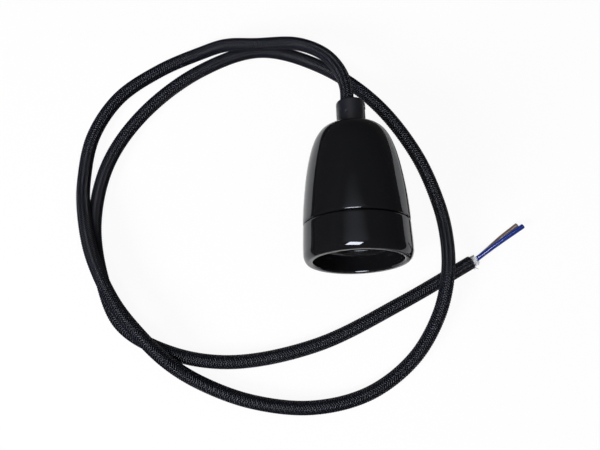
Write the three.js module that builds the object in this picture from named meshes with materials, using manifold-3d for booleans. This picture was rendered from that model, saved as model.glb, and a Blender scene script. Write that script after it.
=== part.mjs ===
// Pendant cord set: a two-part glazed porcelain lamp holder for screw-cap bulbs, its cord grip and
// contacts, and 0.95 m of round braided two-core cord that ends stripped for wiring.
// Millimetres, +Z up. The holder lies on its side with its mouth towards -Y.
// Pieces of the holder are built about its own axis: Y runs from the mouth plane towards the cord,
// X to the right and Z upwards, and the whole holder is then tilted and laid on the surface.

import * as THREE from 'three';
import { mergeVertices } from 'three/addons/utils/BufferGeometryUtils.js';
import Module from 'manifold-3d';

const wasm = await Module();
wasm.setup();

// Clearances
const SEAT_GAP = 0.3;            // between faces that touch
const SHELL_GAP = 0.35;          // thread shell to the porcelain around it
const CLEARANCE_HOLE = 0.3;      // added to a shank's radius for its hole
const WIRE_GAP = 0.35;           // clamping screw to the wire under it

// Outline of the two porcelain shells
const MOUTH_OUTER_RADIUS = 23.75;
const SEAM_RADIUS = 23.3;
const SEAM_HEIGHT = 16.4;
const HOLDER_HEIGHT = 62.7;
const DOME_SEAT_RADIUS = 6.9;
const DOME_SHOULDER_POWER = 5.1;
const DOME_TAPER_POWER = 1.32;
const SEAM_ROUND = 0.5;

// Skirt ring
const MOUTH_RADIUS = 19.45;
const MOUTH_INNER_RADIUS = 18.9;
const LIP_OUTER_ROUND = 2.3;
const LIP_STRETCH = 1.5;
const LIP_INNER_ROUND = 0.95;
const MOUTH_WALL_DEPTH = 8.5;
const SPIGOT_LENGTH = 8;
const SPIGOT_CHAMFER = 0.4;

// Dome cap
const DOME_WALL = 3.7;
const CAVITY_TOP_RADIUS = 8;
const CAVITY_STEP = 1.9;
const ROOF_THICKNESS = 4.2;

// Porcelain insert
const INSERT_SKIRT_WALL = 2.1;
const INSERT_MOUTH_STEP = 0.5;
const INSERT_FLANGE_THICKNESS = 3;
const INSERT_FLOOR_THICKNESS = 3.5;
const INSERT_BODY_GAP = 0.5;
const BARRIER_WIDTH = 2.4;
const BARRIER_LENGTH = 26;
const BARRIER_HEIGHT = 5;

// Rolled thread shell for the bulb cap
const THREAD_PITCH = 3.629;
const THREAD_MINOR_RADIUS = 12.22;
const THREAD_MAJOR_RADIUS = 13.3;
const SHELL_WALL = 0.45;
const SHELL_INSET = 0.6;
const SHELL_LENGTH = 21.3;
const SHELL_PLAIN_COLLAR = 2;
const SHELL_LEAD_IN = 1.6;
const SHELL_ROWS_PER_PITCH = 5;
const SHELL_TAB_WIDTH = 6.4;

// Contacts, terminals and their fixings
const TERMINAL_WIDTH = 7;
const TERMINAL_HEIGHT = 7.4;
const TERMINAL_DEPTH = 9;
const TERMINAL_OFFSET = 9.5;
const WIRE_HOLE_HEIGHT = 4.2;
const TERMINAL_SCREW_RADIUS = 1.35;
const TERMINAL_HEAD_RADIUS = 2.4;
const TERMINAL_HEAD_HEIGHT = 1.6;
const SCREW_SLOT_WIDTH = 0.7;
const SCREW_SLOT_DEPTH = 0.8;
const RIVET_OFFSET = 9;
const RIVET_RADIUS = 1.2;
const RIVET_HEAD_RADIUS = 2.2;
const RIVET_HEAD_HEIGHT = 0.8;
const RIVET_GRIP = 2.1;
const STRIP_THICKNESS = 0.6;
const STRIP_WIDTH = 5;
const STRIP_SLOT_OFFSET = 5.3;
const STRIP_SLOT_GAP = 0.5;
const STRIP_FOOT_END = 12.6;
const TONGUE_DROP = 3.9;
const TONGUE_REACH = 3;

// Cord grip
const NIPPLE_RADIUS = 5;
const NIPPLE_BORE_RADIUS = 3.8;
const NIPPLE_LENGTH = 10;
const COLLAR_RADIUS = 6.55;
const COLLAR_LENGTH = 12;
const COLLAR_ROUND = 1.2;
const COLLAR_BORE_RADIUS = 4.2;
const COLLAR_BORE_OFFSET = 0.5;
const COLLAR_FLOOR = 0.5;
const COLLAR_FLARE = 0.35;
const COLLAR_FLARE_DEPTH = 0.8;
const CLAMP_HEIGHT = 9.2;
const CLAMP_ANGLE = 12;
const CLAMP_SCREW_RADIUS = 1.6;
const CLAMP_HEAD_PROUD = 0.1;
const CLAMP_TIP_REACH = 2.6;
const DIMPLE_RADIUS = 0.9;
const DIMPLE_DEPTH = 0.4;
const DIMPLE_HEIGHT = 4.9;
const DIMPLE_ANGLE = 112;
const WASHER_RADIUS = 7.4;
const WASHER_THICKNESS = 0.8;
const WASHER_TEETH = 10;
const WASHER_TOOTH_DEPTH = 0.8;
const NUT_ACROSS_FLATS = 13;
const NUT_THICKNESS = 3;
const NUT_SIDES = 6;

// Cord
const CORD_RADIUS = 3.05;
const SHEATH_RADIUS = 2.5;
const CORE_RADIUS = 1.15;
const WIRE_RADIUS = 0.5;
const CORD_ROOT_HEIGHT = 54;
const ROOT_SHEATH_LENGTH = 3.2;
const END_SHEATH_LENGTH = 2.6;
const ROOT_CORE_SPREAD = 1.25;
const WIRE_STUB = 2;
const CORD_SIDES = 12;
const CORD_STEPS = 80;
const CORE_SIDES = 8;
const CORE_STEPS = 10;
const CORD_EXIT_OFFSET = 1.3;

// How the holder lies
const HOLDER_TILT = 3.5;

// Fineness of the revolved pieces
const SHELL_SIDES = 28;
const PORCELAIN_SIDES = 40;
const GRIP_SIDES = 28;
const SMALL_SIDES = 16;

// Heights along the holder's axis that follow from the sizes above
const MOUTH_SHOULDER = MOUTH_WALL_DEPTH + MOUTH_INNER_RADIUS
  - (THREAD_MAJOR_RADIUS + SHELL_WALL + SHELL_GAP + INSERT_SKIRT_WALL + SEAT_GAP);
const INSERT_BORE_RADIUS = THREAD_MAJOR_RADIUS + SHELL_WALL + SHELL_GAP;
const INSERT_SKIRT_RADIUS = INSERT_BORE_RADIUS + INSERT_SKIRT_WALL;
const SPIGOT_BORE_RADIUS = INSERT_SKIRT_RADIUS + SEAT_GAP;
const SOCKET_RADIUS = SEAM_RADIUS - DOME_WALL;
const SPIGOT_RADIUS = SOCKET_RADIUS - SEAT_GAP;
const CAVITY_RADIUS = SOCKET_RADIUS - CAVITY_STEP;
const SPIGOT_TOP = SEAM_HEIGHT + SPIGOT_LENGTH;
const FLANGE_BOTTOM = SPIGOT_TOP + SEAT_GAP;
const FLANGE_TOP = FLANGE_BOTTOM + INSERT_FLANGE_THICKNESS;
const DOME_SHOULDER = FLANGE_TOP + SEAT_GAP;
const INSERT_BOTTOM = MOUTH_SHOULDER + INSERT_MOUTH_STEP;
const SHELL_BOTTOM = INSERT_BOTTOM + SHELL_INSET;
const SHELL_TOP = SHELL_BOTTOM + SHELL_LENGTH;
const FLOOR_BOTTOM = SHELL_TOP + SEAT_GAP;
const FLOOR_TOP = FLOOR_BOTTOM + INSERT_FLOOR_THICKNESS;
const STRIP_LEVEL = FLOOR_TOP + SEAT_GAP + STRIP_THICKNESS / 2;
const LIVE_TERMINAL_BOTTOM = STRIP_LEVEL + STRIP_THICKNESS / 2 + SEAT_GAP;
const NEUTRAL_TERMINAL_BOTTOM = FLOOR_TOP + SEAT_GAP;
const ROOF = HOLDER_HEIGHT - ROOF_THICKNESS;
const COLLAR_BOTTOM = HOLDER_HEIGHT + SEAT_GAP;
const COLLAR_TOP = COLLAR_BOTTOM + COLLAR_LENGTH;
const WASHER_TOP = ROOF - SEAT_GAP;
const NUT_TOP = WASHER_TOP - WASHER_THICKNESS - SEAT_GAP;
const ROOT_SHEATH_TOP = CORD_ROOT_HEIGHT - SEAT_GAP;
const ROOT_SHEATH_BOTTOM = ROOT_SHEATH_TOP - ROOT_SHEATH_LENGTH;

// Route of the cord's centre line from the grip to its free end: two loose turns on the surface.
// The first turn rides over the second one where they run together.
const CORD_ROUTE = [
  [-1.5, 46.6, 18.6], [-4.8, 57.6, 15.4], [-11.7, 67, 12.2], [-24, 73.2, 10.2], [-43.9, 73.4, 9.9],
  [-58.3, 74.6, 7.6], [-71.3, 72.6, 3.7], [-90.9, 64.2, 3.2], [-110.3, 50.4, 3.2], [-122, 31.2, 3.2],
  [-125.4, 8.9, 3.8], [-122.9, -9.9, 8.6], [-118.1, -28.7, 9.8], [-108.1, -49.3, 9.3],
  [-96.5, -63.7, 9.9], [-84.2, -75.8, 8.3], [-70.6, -84.9, 3.8], [-47.8, -93.8, 3.2],
  [-20.9, -97.1, 3.2], [4.2, -91.6, 3.2], [24.6, -77.1, 3.3], [36.5, -58.2, 6.2], [40.9, -40.9, 9.7],
  [42.4, -23.4, 5.9], [40.3, -6.3, 3.4], [31.4, 18.3, 3.2], [13, 45, 3.2], [-12.6, 64.4, 3.2],
  [-41.7, 73.2, 3.2], [-71, 63.5, 3.2], [-98.2, 42.1, 3.2], [-114.4, 17.2, 3.2], [-119.7, -11.5, 3.2],
  [-115.1, -38.6, 3.2], [-105.8, -58.9, 3.2], [-84.6, -71.5, 3.2], [-56.7, -76.6, 3.2],
  [-18.5, -70.2, 3.2], [19.9, -52.8, 3.2], [53.3, -34.9, 3.2],
];

// The two stripped cores past the free end: blue on top, brown beside and under it.
const BLUE_TAIL_ROUTE = [[56.45, -33.12, 4.5], [61.89, -29.39, 4.25], [67.94, -25.45, 3.95], [78.81, -18.58, 3.4]];
const BROWN_TAIL_ROUTE = [[56.55, -33.23, 1.85], [61.9, -28.99, 1.7], [68.15, -23.86, 1.6], [76.73, -17.65, 1.5]];

const FINISHES = {
  glaze: { color: 0x0b0b0d, roughness: 0.12, metalness: 0 },
  steatite: { color: 0xe9e4d8, roughness: 0.5, metalness: 0 },
  nickel: { color: 0xb9b6ab, roughness: 0.3, metalness: 1 },
  bronze: { color: 0xb58a4a, roughness: 0.35, metalness: 1 },
  brass: { color: 0xc2a04e, roughness: 0.35, metalness: 1 },
  zinc: { color: 0xa7a9a8, roughness: 0.4, metalness: 1 },
  plastic: { color: 0x14151a, roughness: 0.55, metalness: 0 },
  braid: { color: 0x0e0f16, roughness: 0.85, metalness: 0 },
  sheath: { color: 0xe6e6e2, roughness: 0.6, metalness: 0 },
  blue: { color: 0x163a9c, roughness: 0.4, metalness: 0 },
  brown: { color: 0x5a3a2a, roughness: 0.45, metalness: 0 },
  copper: { color: 0xb8693d, roughness: 0.35, metalness: 1 },
};

const radians = THREE.MathUtils.degToRad;

// Basic operations

function closed(geometry) {
  geometry.deleteAttribute('normal');
  geometry.deleteAttribute('uv');
  return mergeVertices(geometry, 1e-4);
}

function toSolid(geometry) {
  const mesh = closed(geometry);
  return new wasm.Manifold(new wasm.Mesh({
    numProp: 3,
    vertProperties: new Float32Array(mesh.getAttribute('position').array),
    triVerts: new Uint32Array(mesh.index.array),
  }));
}

function toGeometry(solid) {
  const mesh = solid.getMesh();
  const geometry = new THREE.BufferGeometry();
  geometry.setAttribute('position', new THREE.BufferAttribute(mesh.vertProperties, 3));
  geometry.setIndex(new THREE.BufferAttribute(mesh.triVerts, 1));
  return geometry;
}

function cut(base, ...tools) {
  return tools.reduce((solid, tool) => solid.subtract(toSolid(tool)), base);
}

// Points of an arc in a profile, from one angle to another in degrees, drawn out along the axis by stretch.
function arc(centreRadius, centreHeight, radius, from, to, steps, stretch = 1) {
  return Array.from({ length: steps + 1 }, (_, i) => {
    const angle = radians(from + (to - from) * i / steps);
    return [centreRadius + radius * Math.cos(angle), centreHeight + stretch * radius * Math.sin(angle)];
  });
}

// Points of a dome's meridian, from its wide edge in to the flat seat that cuts off its crown.
function meridian([wideRadius, base], [seatRadius, seat], steps) {
  const climb = (spread) => (1 - spread ** DOME_SHOULDER_POWER) ** (1 / DOME_TAPER_POWER);
  const rise = (seat - base) / climb(seatRadius / wideRadius);
  return Array.from({ length: steps + 1 }, (_, i) => {
    const spread = Math.cos(i / steps * Math.acos(seatRadius / wideRadius));
    return [wideRadius * spread, base + rise * climb(spread)];
  });
}

// A profile of [radius, height] pairs turned about the Y axis, with a flat facet facing down.
function revolve(profile, sides) {
  const onAxis = profile[0][0] === 0;
  const outline = onAxis ? profile : [...profile, profile[0]];
  const points = outline.map(([radius, height]) => new THREE.Vector2(radius, height));
  return new THREE.LatheGeometry(points, sides, Math.PI / sides, Math.PI * 2);
}

function rod(radius, bottom, top, sides = SMALL_SIDES) {
  return new THREE.CylinderGeometry(radius, radius, top - bottom, sides)
    .translate(0, (bottom + top) / 2, 0);
}

function block(width, height, depth, x, y, z) {
  return new THREE.BoxGeometry(width, height, depth).translate(x, y, z);
}

// A flat outline with an optional round hole, extruded along the Y axis.
function plate(outline, holeRadius, bottom, thickness) {
  const shape = new THREE.Shape(outline);
  const hole = new THREE.Path();
  hole.absarc(0, 0, holeRadius, 0, Math.PI * 2, true);
  shape.holes.push(hole);
  return new THREE.ExtrudeGeometry(shape, { depth: thickness, bevelEnabled: false, curveSegments: 12 })
    .rotateX(-Math.PI / 2)
    .translate(0, bottom, 0);
}

// A round tube of solid section along a smooth curve.
function cable(curve, radius, sides, steps) {
  const section = new THREE.Shape(Array.from({ length: sides }, (_, i) => {
    const angle = (i + 0.5) / sides * Math.PI * 2;
    return new THREE.Vector2(radius * Math.cos(angle), radius * Math.sin(angle));
  }));
  return new THREE.ExtrudeGeometry(section, { steps, extrudePath: curve, bevelEnabled: false });
}

function smooth(points) {
  return new THREE.CatmullRomCurve3(points.map((p) => new THREE.Vector3(...p)), false, 'centripetal');
}

// A straight strip of sheet metal bent along a path in the XY plane.
function bentStrip(path, thickness, width) {
  const points = path.map(([x, y]) => new THREE.Vector2(x, y));
  const side = (sign) => points.map((point, i) => {
    const before = points[Math.max(i - 1, 0)];
    const after = points[Math.min(i + 1, points.length - 1)];
    const into = i > 0 ? point.clone().sub(before).normalize() : after.clone().sub(point).normalize();
    const out = i < points.length - 1 ? after.clone().sub(point).normalize() : into;
    const normal = new THREE.Vector2(-into.y - out.y, into.x + out.x).normalize();
    const reach = thickness / 2 / Math.max(0.5, normal.dot(new THREE.Vector2(-into.y, into.x)));
    return point.clone().addScaledVector(normal, sign * reach);
  });
  const outline = [...side(1), ...side(-1).reverse()];
  return new THREE.ExtrudeGeometry(new THREE.Shape(outline), { depth: width, bevelEnabled: false })
    .translate(0, 0, -width / 2);
}

// Porcelain

function domeCap() {
  const bottom = SEAM_HEIGHT + SEAT_GAP;
  const profile = [
    [SOCKET_RADIUS, bottom],
    ...arc(SEAM_RADIUS - SEAM_ROUND, bottom + SEAM_ROUND, SEAM_ROUND, -90, 0, 3),
    ...meridian([SEAM_RADIUS, bottom + 2 * SEAM_ROUND], [DOME_SEAT_RADIUS, HOLDER_HEIGHT], 14),
    [NIPPLE_RADIUS + CLEARANCE_HOLE, HOLDER_HEIGHT],
    [NIPPLE_RADIUS + CLEARANCE_HOLE, ROOF],
    ...meridian([CAVITY_RADIUS, FLOOR_TOP], [CAVITY_TOP_RADIUS, ROOF], 8).reverse(),
    [CAVITY_RADIUS, DOME_SHOULDER],
    [SOCKET_RADIUS, DOME_SHOULDER],
  ];
  return closed(revolve(profile, PORCELAIN_SIDES));
}

function skirtRing() {
  const shoulderRound = MOUTH_INNER_RADIUS - SPIGOT_BORE_RADIUS;
  const profile = [
    [SPIGOT_BORE_RADIUS, SPIGOT_TOP],
    ...arc(SPIGOT_BORE_RADIUS, MOUTH_WALL_DEPTH, shoulderRound, 90, 0, 6),
    ...arc(MOUTH_RADIUS + LIP_INNER_ROUND, LIP_INNER_ROUND, LIP_INNER_ROUND, 180, 270, 4),
    ...arc(MOUTH_OUTER_RADIUS - LIP_OUTER_ROUND, LIP_STRETCH * LIP_OUTER_ROUND, LIP_OUTER_ROUND, -90, 0, 6,
      LIP_STRETCH),
    ...arc(SEAM_RADIUS - SEAM_ROUND, SEAM_HEIGHT - SEAM_ROUND, SEAM_ROUND, 0, 90, 3),
    [SPIGOT_RADIUS, SEAM_HEIGHT],
    [SPIGOT_RADIUS, SPIGOT_TOP - SPIGOT_CHAMFER],
    [SPIGOT_RADIUS - SPIGOT_CHAMFER, SPIGOT_TOP],
  ];
  return closed(revolve(profile, PORCELAIN_SIDES));
}

function socketInsert() {
  const bodyRadius = CAVITY_RADIUS - INSERT_BODY_GAP;
  const flangeRadius = SOCKET_RADIUS - SEAT_GAP;
  const profile = [
    [0, FLOOR_BOTTOM],
    [INSERT_BORE_RADIUS, FLOOR_BOTTOM],
    [INSERT_BORE_RADIUS, INSERT_BOTTOM],
    [INSERT_SKIRT_RADIUS, INSERT_BOTTOM],
    [INSERT_SKIRT_RADIUS, FLANGE_BOTTOM],
    [flangeRadius, FLANGE_BOTTOM],
    [flangeRadius, FLANGE_TOP],
    [bodyRadius, FLANGE_TOP],
    [bodyRadius, FLOOR_TOP],
    [0, FLOOR_TOP],
  ];
  const barrier = block(BARRIER_WIDTH, BARRIER_HEIGHT + 1, BARRIER_LENGTH,
    0, FLOOR_TOP + BARRIER_HEIGHT / 2 - 0.5, 0);
  const stripSlot = block(STRIP_THICKNESS + 2 * STRIP_SLOT_GAP, INSERT_FLOOR_THICKNESS + 2,
    STRIP_WIDTH + 2 * STRIP_SLOT_GAP, STRIP_SLOT_OFFSET, (FLOOR_BOTTOM + FLOOR_TOP) / 2, 0);
  const rivetHole = (x) => rod(RIVET_RADIUS + CLEARANCE_HOLE, FLOOR_BOTTOM - 1, FLOOR_TOP + 1)
    .translate(x, 0, 0);
  const body = toSolid(revolve(profile, PORCELAIN_SIDES)).add(toSolid(barrier));
  return toGeometry(cut(body, stripSlot, rivetHole(RIVET_OFFSET), rivetHole(-RIVET_OFFSET)));
}

// Metal parts

// Wall of the thread shell: a helical wave that fades into plain ends.
function shellRadius(height, angle) {
  const threadTop = SHELL_TOP - SHELL_PLAIN_COLLAR;
  const fade = THREE.MathUtils.smoothstep(height, SHELL_BOTTOM, SHELL_BOTTOM + SHELL_LEAD_IN)
    * (1 - THREE.MathUtils.smoothstep(height, threadTop - SHELL_LEAD_IN, threadTop));
  const middle = (THREAD_MAJOR_RADIUS + THREAD_MINOR_RADIUS) / 2;
  const depth = (THREAD_MAJOR_RADIUS - THREAD_MINOR_RADIUS) / 2;
  return middle + depth * fade * Math.cos(2 * Math.PI * height / THREAD_PITCH - angle);
}

function threadedSleeve() {
  const rows = Math.round(SHELL_LENGTH / THREAD_PITCH * SHELL_ROWS_PER_PITCH);
  const positions = [];
  for (const wall of [SHELL_WALL, 0]) {
    for (let row = 0; row <= rows; row++) {
      const height = SHELL_BOTTOM + SHELL_LENGTH * row / rows;
      for (let side = 0; side < SHELL_SIDES; side++) {
        const angle = (side + 0.5) / SHELL_SIDES * 2 * Math.PI;
        const radius = shellRadius(height, angle) + wall;
        positions.push(radius * Math.sin(angle), height, radius * Math.cos(angle));
      }
    }
  }
  const at = (surface, row, side) => (surface * (rows + 1) + row) * SHELL_SIDES + side % SHELL_SIDES;
  const index = [];
  const quad = (a, b, c, d) => index.push(a, b, c, a, c, d);
  for (let side = 0; side < SHELL_SIDES; side++) {
    for (let row = 0; row < rows; row++) {
      quad(at(0, row, side), at(0, row, side + 1), at(0, row + 1, side + 1), at(0, row + 1, side));
      quad(at(1, row, side), at(1, row + 1, side), at(1, row + 1, side + 1), at(1, row, side + 1));
    }
    quad(at(0, rows, side), at(0, rows, side + 1), at(1, rows, side + 1), at(1, rows, side));
    quad(at(0, 0, side), at(1, 0, side), at(1, 0, side + 1), at(0, 0, side + 1));
  }
  const geometry = new THREE.BufferGeometry();
  geometry.setAttribute('position', new THREE.Float32BufferAttribute(positions, 3));
  geometry.setIndex(index);
  return geometry;
}

function screwShell() {
  const outer = (THREAD_MAJOR_RADIUS + THREAD_MINOR_RADIUS + SHELL_WALL) / 2;
  const inner = RIVET_OFFSET - RIVET_HEAD_RADIUS - SEAT_GAP;
  const tab = block(outer - inner, SHELL_WALL, SHELL_TAB_WIDTH,
    -(outer + inner) / 2, SHELL_TOP - SHELL_WALL / 2, 0);
  const rivetHole = rod(RIVET_RADIUS + CLEARANCE_HOLE, SHELL_TOP - 1, SHELL_TOP + 1)
    .translate(-RIVET_OFFSET, 0, 0);
  return toGeometry(cut(toSolid(threadedSleeve()).add(toSolid(tab)), rivetHole));
}

function centreContact() {
  const knee = FLOOR_BOTTOM - SEAT_GAP - STRIP_THICKNESS / 2;
  const tongue = FLOOR_BOTTOM - TONGUE_DROP;
  const path = [
    [STRIP_FOOT_END, STRIP_LEVEL],
    [STRIP_SLOT_OFFSET, STRIP_LEVEL],
    [STRIP_SLOT_OFFSET, knee],
    [STRIP_SLOT_OFFSET - 2, knee - 1.6],
    [0.8, tongue],
    [-0.8, tongue],
    [-TONGUE_REACH, tongue + 0.8],
  ];
  const rivetHole = rod(RIVET_RADIUS + CLEARANCE_HOLE, STRIP_LEVEL - 1, STRIP_LEVEL + 1)
    .translate(RIVET_OFFSET, 0, 0);
  return toGeometry(cut(toSolid(bentStrip(path, STRIP_THICKNESS, STRIP_WIDTH)), rivetHole));
}

// A terminal block with its wire hole along Z, screw hole from above and rivet hole from below.
function terminal(x, rivetX, bottom) {
  const wireLevel = bottom + WIRE_HOLE_HEIGHT;
  const body = block(TERMINAL_WIDTH, TERMINAL_HEIGHT, TERMINAL_DEPTH,
    x, bottom + TERMINAL_HEIGHT / 2, 0);
  const wireHole = rod(WIRE_RADIUS + 2 * CLEARANCE_HOLE, -TERMINAL_DEPTH, TERMINAL_DEPTH)
    .rotateX(Math.PI / 2)
    .translate(x, wireLevel, 0);
  const screwHole = rod(TERMINAL_SCREW_RADIUS + CLEARANCE_HOLE, wireLevel, bottom + TERMINAL_HEIGHT + 1)
    .translate(x, 0, 0);
  const rivetHole = rod(RIVET_RADIUS + CLEARANCE_HOLE, bottom - 1, bottom + RIVET_GRIP + SEAT_GAP)
    .translate(rivetX, 0, 0);
  return toGeometry(cut(toSolid(body), wireHole, screwHole, rivetHole));
}

function terminalScrew(x, bottom) {
  const tip = bottom + WIRE_HOLE_HEIGHT + WIRE_RADIUS + WIRE_GAP;
  const headBottom = bottom + TERMINAL_HEIGHT + SEAT_GAP;
  const headTop = headBottom + TERMINAL_HEAD_HEIGHT;
  const profile = [
    [0, tip],
    [TERMINAL_SCREW_RADIUS, tip],
    [TERMINAL_SCREW_RADIUS, headBottom],
    [TERMINAL_HEAD_RADIUS, headBottom],
    [TERMINAL_HEAD_RADIUS, headTop],
    [0, headTop],
  ];
  const slot = block(2 * TERMINAL_HEAD_RADIUS + 1, 2 * SCREW_SLOT_DEPTH, SCREW_SLOT_WIDTH, 0, headTop, 0);
  return toGeometry(cut(toSolid(revolve(profile, SMALL_SIDES)), slot)).translate(x, 0, 0);
}

// A rivet with its head under the floor and its shank up in the terminal.
function rivet(x, seat, terminalBottom) {
  const headTop = seat - SEAT_GAP;
  const profile = [
    [0, headTop - RIVET_HEAD_HEIGHT],
    [RIVET_HEAD_RADIUS * 0.7, headTop - RIVET_HEAD_HEIGHT],
    [RIVET_HEAD_RADIUS, headTop - RIVET_HEAD_HEIGHT / 2],
    [RIVET_HEAD_RADIUS, headTop],
    [RIVET_RADIUS, headTop],
    [RIVET_RADIUS, terminalBottom + RIVET_GRIP],
    [0, terminalBottom + RIVET_GRIP],
  ];
  return closed(revolve(profile, SMALL_SIDES)).translate(x, 0, 0);
}

function gripNut() {
  const corner = NUT_ACROSS_FLATS / 2 / Math.cos(Math.PI / NUT_SIDES);
  const outline = Array.from({ length: NUT_SIDES }, (_, i) => {
    const angle = i / NUT_SIDES * 2 * Math.PI;
    return new THREE.Vector2(corner * Math.cos(angle), corner * Math.sin(angle));
  });
  return closed(plate(outline, NIPPLE_RADIUS + CLEARANCE_HOLE, NUT_TOP - NUT_THICKNESS, NUT_THICKNESS));
}

function gripWasher() {
  const outline = Array.from({ length: 4 * WASHER_TEETH }, (_, i) => {
    const angle = i / (4 * WASHER_TEETH) * 2 * Math.PI;
    const radius = WASHER_RADIUS - (i % 4 < 2 ? 0 : WASHER_TOOTH_DEPTH);
    return new THREE.Vector2(radius * Math.cos(angle), radius * Math.sin(angle));
  });
  return closed(plate(outline, NIPPLE_RADIUS + CLEARANCE_HOLE,
    WASHER_TOP - WASHER_THICKNESS, WASHER_THICKNESS));
}

// Cord grip

// A rod that points out of the grip's axis at an angle above the horizontal.
function radialRod(radius, from, to, angle, height) {
  return rod(radius, from, to)
    .rotateZ(-Math.PI / 2)
    .rotateY(-radians(angle))
    .translate(0, height, 0);
}

function cordGripBody() {
  const profile = [
    [NIPPLE_BORE_RADIUS, COLLAR_TOP],
    [NIPPLE_BORE_RADIUS, COLLAR_BOTTOM - NIPPLE_LENGTH],
    [NIPPLE_RADIUS - SPIGOT_CHAMFER, COLLAR_BOTTOM - NIPPLE_LENGTH],
    [NIPPLE_RADIUS, COLLAR_BOTTOM - NIPPLE_LENGTH + SPIGOT_CHAMFER],
    [NIPPLE_RADIUS, COLLAR_BOTTOM],
    [COLLAR_RADIUS, COLLAR_BOTTOM],
    ...arc(COLLAR_RADIUS - COLLAR_ROUND, COLLAR_TOP - COLLAR_ROUND, COLLAR_ROUND, 0, 90, 4),
  ];
  const bore = rod(COLLAR_BORE_RADIUS, COLLAR_BOTTOM + COLLAR_FLOOR, COLLAR_TOP + 1, GRIP_SIDES)
    .translate(-COLLAR_BORE_OFFSET, 0, 0);
  const flare = new THREE.CylinderGeometry(COLLAR_BORE_RADIUS + 2 * COLLAR_FLARE, COLLAR_BORE_RADIUS,
    2 * COLLAR_FLARE_DEPTH, GRIP_SIDES).translate(-COLLAR_BORE_OFFSET, COLLAR_TOP, 0);
  const screwHole = radialRod(CLAMP_SCREW_RADIUS + CLEARANCE_HOLE, 0, 2 * COLLAR_RADIUS,
    CLAMP_ANGLE, COLLAR_BOTTOM + CLAMP_HEIGHT);
  const dimple = radialRod(DIMPLE_RADIUS, COLLAR_RADIUS - DIMPLE_DEPTH, COLLAR_RADIUS + 1,
    DIMPLE_ANGLE, COLLAR_BOTTOM + DIMPLE_HEIGHT);
  return toGeometry(cut(toSolid(revolve(profile, GRIP_SIDES)), bore, flare, screwHole, dimple));
}

function cordGripScrew() {
  const end = COLLAR_RADIUS + CLAMP_HEAD_PROUD;
  const level = COLLAR_BOTTOM + CLAMP_HEIGHT;
  const slot = block(2 * SCREW_SLOT_DEPTH, 3 * CLAMP_SCREW_RADIUS, SCREW_SLOT_WIDTH, end, 0, 0)
    .rotateY(-radians(CLAMP_ANGLE))
    .translate(0, level, 0);
  const shank = toSolid(radialRod(CLAMP_SCREW_RADIUS, CLAMP_TIP_REACH, end, CLAMP_ANGLE, level));
  return toGeometry(cut(shank, slot));
}

// Wiring inside the holder

// Centre line of a core from the sheath to its terminal's wire hole, mirrored by the sign.
function rootCoreCurve(sign, terminalBottom) {
  const wire = terminalBottom + WIRE_HOLE_HEIGHT;
  const entry = TERMINAL_DEPTH / 2 + 3 * SEAT_GAP;
  const start = ROOT_SHEATH_BOTTOM - SEAT_GAP;
  return smooth([
    [ROOT_CORE_SPREAD, start, 0],
    [ROOT_CORE_SPREAD + 0.1, start - 1.2, 0.2],
    [ROOT_CORE_SPREAD + 1.4, start - 3, 2.6],
    [TERMINAL_OFFSET - 3.4, wire + 3.6, entry + 3.2],
    [TERMINAL_OFFSET - 0.4, wire + 1.4, entry + 4.2],
    [TERMINAL_OFFSET, wire, entry + 2],
    [TERMINAL_OFFSET, wire, entry],
  ].map(([x, y, z]) => [sign * x, y, sign * z]));
}

function rootWire(sign, terminalBottom) {
  const entry = TERMINAL_DEPTH / 2 + 2 * SEAT_GAP;
  return closed(rod(WIRE_RADIUS, -TERMINAL_DEPTH / 2 + 1, entry, 12)
    .rotateX(sign * Math.PI / 2)
    .translate(sign * TERMINAL_OFFSET, terminalBottom + WIRE_HOLE_HEIGHT, 0));
}

// Cord and its stripped end

function tube(curve, radius, sides, steps) {
  return closed(cable(curve, radius, sides, steps));
}

// A stripped core with a blind hole in its cut end for the copper inside it.
function coreTail(curve) {
  const tip = curve.getPointAt(1);
  const along = curve.getTangentAt(1);
  const bore = new THREE.LineCurve3(tip.clone().addScaledVector(along, -WIRE_STUB - SEAT_GAP),
    tip.clone().addScaledVector(along, 1));
  const hole = cable(bore, WIRE_RADIUS + CLEARANCE_HOLE / 2, CORE_SIDES, 1);
  return toGeometry(cut(toSolid(cable(curve, CORE_RADIUS, CORE_SIDES, CORE_STEPS)), hole));
}

function tailWire(curve) {
  const tip = curve.getPointAt(1);
  const along = curve.getTangentAt(1);
  const line = new THREE.LineCurve3(tip.clone().addScaledVector(along, -WIRE_STUB), tip);
  return tube(line, WIRE_RADIUS, CORE_SIDES, 1);
}

// Assembly

function place(parent, name, finish, geometry) {
  geometry.computeVertexNormals();
  const mesh = new THREE.Mesh(geometry, new THREE.MeshStandardMaterial({ ...FINISHES[finish], name }));
  mesh.name = name;
  parent.add(mesh);
}

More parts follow.
